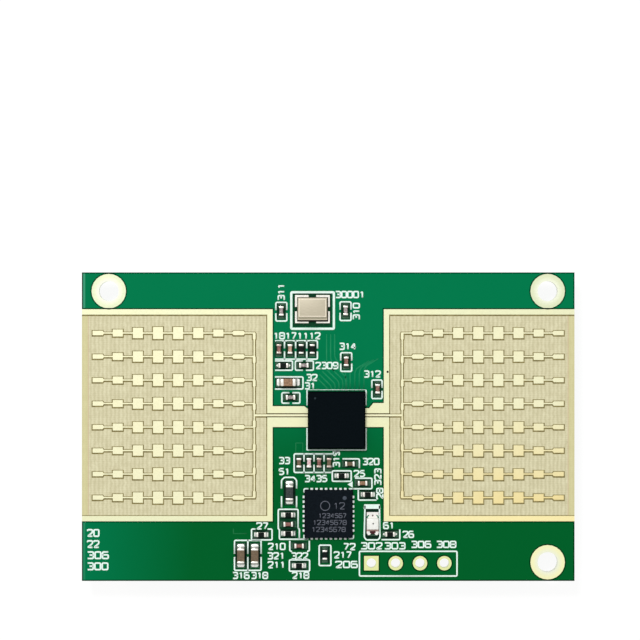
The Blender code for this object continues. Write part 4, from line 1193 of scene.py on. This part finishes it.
class RADARBOARD_OT_mount_chips(bpy.types.Operator):
    """Fit the chip capacitors, chip resistors and the ferrite bead with their solder"""
    bl_idname = "radar_board.mount_chips"
    bl_label = "Mount Two-Terminal Chips"

    def execute(self, context):
        for node, body in CHIP_BODIES.items():
            self.mount(node, body)
        return {"FINISHED"}

    @staticmethod
    def mount(node, body):
        low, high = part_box(node)
        size = high - low
        upright = size.y > size.x
        end = max(size.x, size.y) / 2 - TOE
        half = min(size.x, size.y) / 2
        height = size.z
        resistor = body == "resistor"
        large = 2 * half > LARGE_WIDTH
        narrow = not large and not resistor
        pointed = node in POINTED
        toe = LARGE_TOE if large else TOE
        band = 2 * end * (0.20 if resistor else 0.22)
        if large:
            band = WIDE_BAND if node == "bulk_capacitor" else LARGE_BAND
        inset = SMALL_INSET if narrow else BODY_INSET
        tool = bmesh.new()
        add_block(tool, (inset - end, inset - half, inset),
                  (end - inset, half - inset, height - inset), CHIP_EDGE * (1.3 if narrow else 0.5),
                  BODY, 3)
        for side in (-1, 1):
            near, far = sorted((side * (end - band), side * end))
            add_block(tool, (near, -half, 0.0), (far, half, height),
                      CHIP_EDGE * (2.0 if large else 1.0), TERMINAL, 3, smooth=True)
            add_fillet(tool, end - BODY_INSET, side, half, height * CLIMB, toe,
                       STEEP if large or pointed else GENTLE, pointed)
            near, far = sorted((side * (end - band * 0.6), side * (end + toe + PAD_MARGIN)))
            pad_half = half + PAD_MARGIN
            add_block(tool, (near, -pad_half, 0.0), (far, pad_half, PAD_HEIGHT), 0.0, PAD)
        if resistor:
            glaze = end - band
            add_block(tool, (-glaze, inset - half, height - inset),
                      (glaze, half - inset, height - inset + GLAZE_HEIGHT), 0.01 * MM, TOP)
        # Darker ground round the chip: partly the opening of the mask, partly painted shade round
        # the chip.
        reach, spread = end + toe + OPENING_ENDS, half + OPENING_SIDES
        add_block(tool, (-reach, -spread, 0.0), (reach, spread, GROUND_HEIGHT), 0.0, OPENING)
        place_all(tool, *middle_of(node)[:2], low.z, upright)
        add_piece("soldered_" + node, tool,
                  ["alumina" if resistor else body,
                   "rosy_terminal" if node in ROSY_ENDS else "tin_terminal",
                   # Painted light: flat resistors and large chips get the lit solder, the others
                   # the shaded one.
                   "bright_solder" if large or resistor and not upright else "dim_solder",
                   "black_glaze", "deep_opening" if large or resistor else "mask_opening",
                   "dull_pad"],
                  (node,))


class RADARBOARD_OT_mount_radar_chip(bpy.types.Operator):
    """Finish the radar chip: a darker shoulder round its top, and the dot at its first corner"""
    bl_idname = "radar_board.mount_radar_chip"
    bl_label = "Mount Radar Chip"

    SHOULDER = 0.13 * MM
    SHOULDER_DROP = 0.06 * MM
    MARK_SINK = 0.003 * MM
    # The dot: its radius, and how far it lies from the left and upper sides
    DOT_RADIUS = 0.11 * MM
    DOT_RIGHT, DOT_DOWN = 0.76 * MM, 0.72 * MM
    TOP_SLOT, SHOULDER_SLOT, DOT_SLOT = range(3)

    def execute(self, context):
        low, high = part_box("radar_chip")
        shoulder = self.SHOULDER
        top = high.z - self.MARK_SINK
        tool = bmesh.new()
        add_block(tool, low, (high.x, high.y, top - self.SHOULDER_DROP), 0.02 * MM,
                  self.SHOULDER_SLOT)
        add_block(tool, (low.x + shoulder, low.y + shoulder, low.z + 0.1 * MM),
                  (high.x - shoulder, high.y - shoulder, top), 0.03 * MM, self.TOP_SLOT, 3)
        add_disc(tool, low.x + self.DOT_RIGHT, high.y - self.DOT_DOWN, self.DOT_RADIUS,
                 top - DISC_SINK, high.z, self.DOT_SLOT)
        add_piece("fitted_radar_chip", tool, ["black_moulding", "dark_shoulder", "faint_mark"],
                  ("radar_chip",))
        return {"FINISHED"}


class RADARBOARD_OT_mount_controller(bpy.types.Operator):
    """Fit the small computer chip with its soldered leads and its laser-marked numbers"""
    bl_idname = "radar_board.mount_controller"
    bl_label = "Mount Microcontroller"

    LEADS = 8
    PITCH = 0.50 * MM
    LEAD_HALF = 0.135 * MM
    LEAD_HEIGHT = 0.12 * MM
    REACH = 0.195 * MM
    BODY_INSIDE = 0.20 * MM
    BODY_ROUND = 0.06 * MM
    SHADE_BEYOND = 0.07 * MM
    # The dot lies this far from the upper right corner of the body, and the ring from its centre
    DOT_LEFT, DOT_DOWN, DOT_RADIUS = 0.82 * MM, 0.84 * MM, 0.21 * MM
    RING_PLACE, RING_RADIUS = (-0.35, 0.85), 0.48 * MM
    MARK_LINE, MARK_HEIGHT, MARK_SINK = 0.085 * MM, 0.003 * MM, 0.004 * MM
    MOULDING, LEAD, DOT, SHADE = range(4)
    # Text, steps right and up from the chip's centre, digit height
    ROWS = (
        ("12", 1.10, 0.84, 0.66),
        ("1234567", 0.40, -0.18, 0.44),
        ("12345678", 0.12, -0.89, 0.46),
        ("12345678", 0.01, -1.61, 0.46),
    )

    def execute(self, context):
        low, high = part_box("microcontroller")
        half = (high.x - low.x) / 2 - self.BODY_INSIDE
        height = high.z - low.z
        top = height - self.MARK_SINK
        tool = bmesh.new()
        add_block(tool, (-half, -half, 0.0), (half, half, top), self.BODY_ROUND, self.MOULDING, 3)
        # Painted shade: a dark ring on the board just beyond the body, round the leads.
        shade = half + self.SHADE_BEYOND
        add_block(tool, (-shade, -shade, 0.0), (shade, shade, GROUND_HEIGHT), 0.0, self.SHADE)
        add_disc(tool, half - self.DOT_LEFT, half - self.DOT_DOWN, self.DOT_RADIUS,
                 top - DISC_SINK, height, self.DOT)
        for quarter in range(4):
            known = set(tool.verts)
            for lead in range(self.LEADS):
                middle = (lead - (self.LEADS - 1) / 2) * self.PITCH
                add_block(tool, (middle - self.LEAD_HALF, -half - self.REACH, 0.0),
                          (middle + self.LEAD_HALF, 0.02 * MM - half, self.LEAD_HEIGHT),
                          0.03 * MM, self.LEAD)
            bmesh.ops.rotate(tool, verts=list(set(tool.verts) - known), cent=(0.0, 0.0, 0.0),
                             matrix=Matrix.Rotation(quarter * math.pi / 2, 3, "Z"))
        centre = middle_of("microcontroller")
        place_all(tool, centre.x, centre.y, low.z, False)
        add_piece("soldered_microcontroller", tool,
                  ["grey_black_moulding", "bright_lead", "polished_mark", "deep_opening"],
                  ("microcontroller",))
        strokes = []
        for text, right, up, size in self.ROWS:
            (x, y), = about("microcontroller", (right, up))
            strokes += number_strokes(text, x, y, size * MM)
        (x, y), = about("microcontroller", self.RING_PLACE)
        strokes.append(circle(x, y, self.RING_RADIUS, 24))
        print_strokes("marked_controller", strokes, self.MARK_LINE, self.MARK_HEIGHT,
                      high.z - self.MARK_SINK, "laser_mark")
        return {"FINISHED"}


class RADARBOARD_OT_mount_crystal(bpy.types.Operator):
    """Finish the crystal's lid and base, lay its four pads, and paint shade round them"""
    bl_idname = "radar_board.mount_crystal"
    bl_label = "Mount Crystal"

    BEYOND = 0.22 * MM
    OPENING = 0.42 * MM
    OPENING_BELOW = 0.6 * MM
    SKIRT = 0.05 * MM
    SKIRT_HEIGHT = 0.14 * MM
    PAD_HEIGHT = 0.05 * MM
    HALF_GAP = Vector((0.39, 0.225)) * MM
    # How far the lid lies inside its solid at the left, below, at the right and above
    LID_EDGES = (0.02, 0.07, 0.01, 0.02)
    FLANGE_SHARE = 0.45
    STEP = 0.04 * MM
    CROWN_ROUND = 0.09 * MM
    LEAN = 0.24 * MM
    RIM_WIDTH, RIM_HEIGHT = 0.05 * MM, 0.002 * MM
    PAD_SLOT, OPENING_SLOT, SKIRT_SLOT = range(3)

    def execute(self, context):
        wear("crystal_ceramic", "crystal_base")
        self.fit_lid(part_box("crystal_lid"))
        low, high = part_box("crystal_base")
        centre = middle_of("crystal_base")
        tool = bmesh.new()
        # Darker ground round the crystal, reaching further below: partly the opening of the mask,
        # partly painted shade.
        add_block(tool, (low.x - self.OPENING, low.y - self.OPENING_BELOW, FRONT),
                  (high.x + self.OPENING, high.y + self.OPENING, FRONT + GROUND_HEIGHT), 0.0,
                  self.OPENING_SLOT)
        for corner in ((-1, -1), (-1, 1), (1, -1), (1, 1)):
            spans = [
                sorted((centre[axis] + side * self.HALF_GAP[axis],
                        centre[axis] + side * ((high[axis] - low[axis]) / 2 + self.BEYOND)))
                for axis, side in enumerate(corner)]
            (left, right), (below, above) = spans
            add_block(tool, (left, below, FRONT), (right, above, FRONT + self.PAD_HEIGHT),
                      0.02 * MM, self.PAD_SLOT)
        # Painted shadow: a dark skirt in the base's colour, reaching past the base below and to the
        # right.
        add_block(tool, (low.x, low.y - self.SKIRT, FRONT),
                  (high.x + self.SKIRT, high.y, FRONT + self.SKIRT_HEIGHT), 0.03 * MM,
                  self.SKIRT_SLOT)
        add_piece("crystal_pads", tool, ["tin_terminal", "mask_opening", "crystal_ceramic"])
        return {"FINISHED"}

    def fit_lid(self, box):
        """The drawn metal lid: a low flange, a crown leaning in below and a thin painted highlight
        round the top of the crown.
        """
        low, high = box
        left, below, right, above = (edge * MM for edge in self.LID_EDGES)
        west, south = low.x + left, low.y + below
        east, north = high.x - right, high.y - above
        shoulder = low.z + (high.z - low.z) * self.FLANGE_SHARE
        tool = bmesh.new()
        add_block(tool, (west, south, low.z), (east, north, shoulder), 0.03 * MM)
        flange = set(tool.verts)
        step = self.STEP
        foot = low.z + 0.02 * MM
        add_block(tool, (west + step, south + step, foot), (east - step, north - step, high.z),
                  self.CROWN_ROUND, 0, 3, smooth=True)
        for corner in set(tool.verts) - flange:
            if corner.co.y < (south + north) / 2:
                corner.co.y += self.LEAN * (corner.co.z - foot) / (high.z - foot)
        add_piece("crystal_drawn_lid", tool, ["brushed_lid"], ("crystal_lid",))
        # Painted highlight: a thin bright ring round the top of the crown, standing in for light
        # glinting on its edge.
        tool = bmesh.new()
        rim = 2 * (step + self.CROWN_ROUND)
        outer = bmesh.ops.create_grid(tool, x_segments=1, y_segments=1, size=0.5)["verts"]
        size = (east - west - rim, north - south - self.LEAN - rim, 1.0, 1.0)
        centre = ((west + east) / 2, (south + self.LEAN + north) / 2, high.z)
        bmesh.ops.transform(tool, matrix=Matrix.Translation(centre) @ Matrix.Diagonal(size),
                            verts=outer)
        inner = tool.faces[:]
        bmesh.ops.inset_region(tool, faces=inner, thickness=self.RIM_WIDTH, use_boundary=True,
                               use_even_offset=True)
        bmesh.ops.delete(tool, geom=inner, context="FACES")
        raise_faces(tool, tool.faces[:], self.RIM_HEIGHT)
        add_piece("crystal_rubbed_rim", tool, ["worn_rim"])


class RADARBOARD_OT_mount_lamp(bpy.types.Operator):
    """Fit the light-emitting diode: base, lens, marks and solder"""
    bl_idname = "radar_board.mount_lamp"
    bl_label = "Mount Status Lamp"

    BASE_HEIGHT = 0.30 * MM
    LENS_SET_BACK, LENS_INSIDE, LENS_ROUND, LENS_TAPER = 0.40 * MM, 0.02 * MM, 0.07 * MM, 0.95
    DOT_RADIUS, DOT_RISE = 0.08 * MM, 0.02 * MM
    # The two ears at the lower end: how far from the middle, and their radius
    EAR_APART, EAR_RADIUS = 0.40 * MM, 0.19 * MM
    GROUND_SIDES, GROUND_ENDS = 0.14 * MM, 0.56 * MM
    # The two printed arcs: how far from the middle and past the lens, radius, line and reach
    ARC_APART, ARC_UP, ARC_RADIUS = 0.30 * MM, 0.05 * MM, 0.27 * MM
    ARC_LINE, ARC_START, ARC_REACH = 0.12 * MM, 0.35, 1.35
    LENS, BASE, _, EDGE, GROUND, SHADE, RED = range(7)

    def execute(self, context):
        low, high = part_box("status_led")
        half_y = (high.y - low.y) / 2 - TOE
        half_x = (high.x - low.x) / 2
        height = high.z - low.z
        base = self.BASE_HEIGHT
        lens = half_y - self.LENS_SET_BACK
        tool = bmesh.new()
        add_block(tool, (-half_x, -half_y, 0.0), (half_x, half_y, base), 0.02 * MM, self.BASE)
        known = set(tool.verts)
        inside = half_x - self.LENS_INSIDE
        add_block(tool, (-inside, -lens, base), (inside, lens, height), self.LENS_ROUND, self.LENS,
                  3, smooth=True)
        for corner in set(tool.verts) - known:
            if corner.co.z > (base + height) / 2:
                corner.co.y *= self.LENS_TAPER
        add_disc(tool, 0.04 * MM, 0.05 * MM, self.DOT_RADIUS, height - 0.01 * MM, height,
                 self.SHADE)
        add_disc(tool, 0.0, lens + 0.27 * MM, self.DOT_RADIUS, base - 0.01 * MM,
                 base + self.DOT_RISE, self.RED, 12)
        for side in (-1, 1):
            add_disc(tool, side * self.EAR_APART, -half_y + 0.02 * MM, self.EAR_RADIUS, 0.02 * MM,
                     base + self.DOT_RISE, self.BASE, 16)
            add_fillet(tool, half_y, side, half_x, base, TOE)
        add_block(tool, (-half_x, half_y - 0.08 * MM, 0.01 * MM),
                  (half_x, half_y + 0.22 * MM, base + 0.015 * MM), 0.03 * MM, self.BASE)
        # Copper edge, then the head and the tail of the red mark: half width, and how far from
        # the lens or from the end they start and stop, and how low and high they lie
        for wide, start, stop, sink, rise, slot in (
                (half_x, -lens - 0.17 * MM, -lens, 0.0, 0.02, self.EDGE),
                (0.30 * MM, -lens - 0.36 * MM, -lens - 0.14 * MM, 0.02, 0.03, self.RED),
                (0.17 * MM, -half_y - 0.03 * MM, -lens - 0.3 * MM, 0.03, 0.028, self.RED)):
            add_block(tool, (-wide, start, base - sink * MM), (wide, stop, base + rise * MM), 0.0,
                      slot)
        # Darker ground round the lamp, reaching further past its ends: partly the opening of the
        # mask, partly painted shade.
        side, end = half_x + self.GROUND_SIDES, half_y + self.GROUND_ENDS
        add_block(tool, (-side, -end, 0.0), (side, end, GROUND_HEIGHT), 0.0, self.GROUND)
        fillets = {corner for face in tool.faces if face.material_index == SOLDER
                   for corner in face.verts}
        bmesh.ops.rotate(tool, verts=list(fillets), cent=(0.0, 0.0, 0.0),
                         matrix=Matrix.Rotation(math.pi / 2, 3, "Z"))
        centre = middle_of("status_led")
        place_all(tool, centre.x, centre.y, low.z, False)
        add_piece("soldered_status_led", tool,
                  ["milky_lens", "lens_base", "dim_solder", "copper_edge", "deep_opening",
                   "lens_shade", "dark_red_mark"], ("status_led",))
        arcs = []
        for side in (-1, 1):
            start = math.pi / 2 - side * self.ARC_START
            points = arc_points(centre.x + side * self.ARC_APART, centre.y + lens + self.ARC_UP,
                                self.ARC_RADIUS, start, start - side * self.ARC_REACH, 6)
            arcs.append((points, False))
        print_strokes("lamp_polarity_marks", arcs, self.ARC_LINE, self.DOT_RISE, low.z + base,
                      "green_mark")
        return {"FINISHED"}


class RADARBOARD_OT_dress_connector(bpy.types.Operator):
    """Finish the wire connector under the board, with its solder and its printing"""
    bl_idname = "radar_board.dress_connector"
    bl_label = "Dress Wire Connector"

    SOLDER_DEPTH = 0.11 * MM
    SOLDER_SPREAD = 0.11 * MM
    # How far the printed corner lies from the edge of the board and from the connector
    EDGE_GAP, SIDE_GAP, TOP_GAP = 0.25 * MM, 0.65 * MM, 0.55 * MM
    TRACK_WIDTH = 0.22 * MM
    DOT_LINE, DOT_RADIUS = 0.20 * MM, 0.12 * MM

    def execute(self, context):
        contacts = [f"connector_contact_{way}" for way in range(1, 5)]
        wear("moulded_nylon", "connector_housing")
        wear("contact_brass", *contacts)
        wear("tinned_tab", "connector_tab_front", "connector_tab_rear")
        self.solder_feet(contacts)
        self.print_rear([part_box(contact) for contact in contacts],
                        context.scene.radar_board_ink)
        return {"FINISHED"}

    def solder_feet(self, contacts):
        """Mounds of solder round the contacts' tails and beside the tabs' feet."""
        tool = bmesh.new()
        under, spread = REAR - self.SOLDER_DEPTH, self.SOLDER_SPREAD
        for contact in contacts:
            low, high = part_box(contact)
            add_block(tool, (high.x - 0.66 * MM, low.y - spread, under),
                      (high.x + 0.28 * MM, high.y + spread, REAR), 0.08 * MM, 0, 3, smooth=True)
        for node, side in (("connector_tab_rear", -1), ("connector_tab_front", 1)):
            low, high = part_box(node)
            near = high.y if side > 0 else low.y
            start, end = sorted((near - side * 0.06 * MM, near + side * 0.22 * MM))
            add_block(tool, (low.x - 0.08 * MM, start, under), (high.x + 0.08 * MM, end, REAR),
                      0.07 * MM, 0, 3, smooth=True)
        add_piece("connector_solder", tool, ["bright_solder"])

    def print_rear(self, contacts, ink):
        """The corner round the connector, its first-way dot, and the tracks that leave it."""
        low, high = contacts[0]
        inner = high.x + self.SIDE_GAP
        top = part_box("connector_housing")[1].y + self.TOP_GAP
        corner = [(self.EDGE_GAP - EDGE_X, top), (inner, top), (inner, self.EDGE_GAP - EDGE_Y)]
        print_white("printed_rear_corner", [rounded(corner, CORNER_ROUND * MM)], ink.line, REAR)
        dot = circle(inner + 0.55 * MM, (low.y + high.y) / 2, self.DOT_RADIUS, 12)
        print_white("printed_rear_dot", [dot], self.DOT_LINE, REAR)
        strokes = []
        for way, (low, high) in enumerate(contacts):
            bend, rise = 2.4 + 0.5 * way, 1.4 + 0.9 * (3 - way)
            path = beside(high.x, (low.y + high.y) / 2, (0.0, 0.0), (bend, 0.0),
                          (bend + rise, rise), (bend + rise + 6.0, rise))
            strokes.append(rounded(path, 0.5 * MM))
        print_strokes("covered_rear_tracks", strokes, self.TRACK_WIDTH, TRACK_HEIGHT, REAR,
                      "mask_over_copper")


class RADARBOARD_OT_set_stage(bpy.types.Operator):
    """Set the floor, the white background, the lamps and the camera"""
    bl_idname = "radar_board.set_stage"
    bl_label = "Set Stage"

    FLOOR_HALF = 0.6
    FLOOR_SHADE, FLOOR_GLOW, FLOOR_PLAIN = 0.14, 0.91, 0.85
    KEY_PLACE, KEY_SIZE = (-0.10, 0.22, 0.50), 0.12
    SENSOR = 36.0

    def execute(self, context):
        studio = context.scene.radar_board_studio
        self.make_floor()
        self.make_world(studio)
        self.make_key(studio)
        self.make_camera(studio)
        context.scene.view_settings.view_transform = "Standard"
        return {"FINISHED"}

    @staticmethod
    def background_ray(tree):
        """1 for rays that show the background: from the camera, from gloss and through glass."""
        path = add_node(tree, "LightPath")
        seen = maths(tree, "ADD", path["Is Camera Ray"], path["Is Glossy Ray"])
        seen = maths(tree, "ADD", seen, path["Is Transmission Ray"])
        return maths(tree, "MINIMUM", seen, 1.0)

    def make_floor(self):
        """A pale floor that keeps shadows, looks white and isn't seen from below."""
        tool = bmesh.new()
        bmesh.ops.create_grid(tool, x_segments=1, y_segments=1, size=self.FLOOR_HALF)
        mesh = bpy.data.meshes.new("floor")
        tool.to_mesh(mesh)
        tool.free()
        material = bpy.data.materials.new("pale_floor")
        material.use_nodes = True
        tree = material.node_tree
        tree.nodes.clear()
        matt = add_node(tree, "BsdfDiffuse", color=[self.FLOOR_SHADE] * 3)["BSDF"]
        glow = add_node(tree, "Emission", strength=self.FLOOR_GLOW)["Emission"]
        plain = add_node(tree, "BsdfDiffuse", color=[self.FLOOR_PLAIN] * 3)["BSDF"]
        clear = add_node(tree, "BsdfTransparent")["BSDF"]
        choice = join(tree, "MixShader", self.background_ray(tree), plain,
                      join(tree, "AddShader", matt, glow))
        below = add_node(tree, "NewGeometry")["Backfacing"]
        add_node(tree, "OutputMaterial", surface=join(tree, "MixShader", below, choice, clear))
        mesh.materials.append(material)
        floor = bpy.data.objects.new("floor", mesh)
        bpy.context.scene.collection.objects.link(floor)

    def make_world(self, studio):
        world = bpy.data.worlds.new("studio")
        world.use_nodes = True
        bpy.context.scene.world = world
        tree = world.node_tree
        strength = maths(tree, "MULTIPLY_ADD", self.background_ray(tree), 1.0 - studio.ambient,
                         studio.ambient)
        fill(tree, tree.nodes["Background"], {"color": (1.0, 1.0, 1.0), "strength": strength})

    def make_key(self, studio):
        lamp = bpy.data.lights.new("key", "AREA")
        lamp.energy = studio.key_power
        lamp.size = self.KEY_SIZE
        key = bpy.data.objects.new("key", lamp)
        key.location = self.KEY_PLACE
        key.rotation_euler = (-key.location.normalized()).to_track_quat("-Z", "Y").to_euler()
        bpy.context.scene.collection.objects.link(key)

    def make_camera(self, studio):
        camera = bpy.data.cameras.new("camera")
        camera.lens = studio.lens
        camera.sensor_width = self.SENSOR
        view = bpy.data.objects.new("camera", camera)
        view.location = (studio.across, studio.up, FRONT + studio.height)
        bpy.context.scene.collection.objects.link(view)
        bpy.context.scene.camera = view


OPERATORS = (
    RADARBOARD_OT_set_stage,
    RADARBOARD_OT_dress_laminate,
    RADARBOARD_OT_dress_mask,
    RADARBOARD_OT_plate_gold,
    RADARBOARD_OT_lay_traces,
    RADARBOARD_OT_print_ink,
    RADARBOARD_OT_mount_chips,
    RADARBOARD_OT_mount_radar_chip,
    RADARBOARD_OT_mount_controller,
    RADARBOARD_OT_mount_crystal,
    RADARBOARD_OT_mount_lamp,
    RADARBOARD_OT_dress_connector,
)


class RADARBOARD_PT_dressing(bpy.types.Panel):
    """Lists the steps that dress the board"""
    bl_idname = "RADARBOARD_PT_dressing"
    bl_label = "Radar Board"
    bl_space_type = "VIEW_3D"
    bl_region_type = "UI"
    bl_category = "Radar Board"

    def draw(self, context):
        for group in read_groups():
            box = self.layout.box()
            for name in group.bl_rna.properties.keys():
                if name not in ("rna_type", "name"):
                    box.prop(group, name)
        for operator in OPERATORS:
            self.layout.operator(operator.bl_idname)


GROUPS = (
    ("radar_board_finish", BoardFinish),
    ("radar_board_ink", InkSettings),
    ("radar_board_studio", StudioSettings),
)


def register():
    for name, group in GROUPS:
        bpy.utils.register_class(group)
        setattr(bpy.types.Scene, name, PointerProperty(type=group))
    for operator in OPERATORS:
        bpy.utils.register_class(operator)
    bpy.utils.register_class(RADARBOARD_PT_dressing)


def unregister():
    bpy.utils.unregister_class(RADARBOARD_PT_dressing)
    for operator in reversed(OPERATORS):
        bpy.utils.unregister_class(operator)
    for name, group in reversed(GROUPS):
        delattr(bpy.types.Scene, name)
        bpy.utils.unregister_class(group)


def main():
    register()
    for operator in OPERATORS:
        family, action = operator.bl_idname.split(".")
        getattr(getattr(bpy.ops, family), action)()


if __name__ == "__main__":
    main()
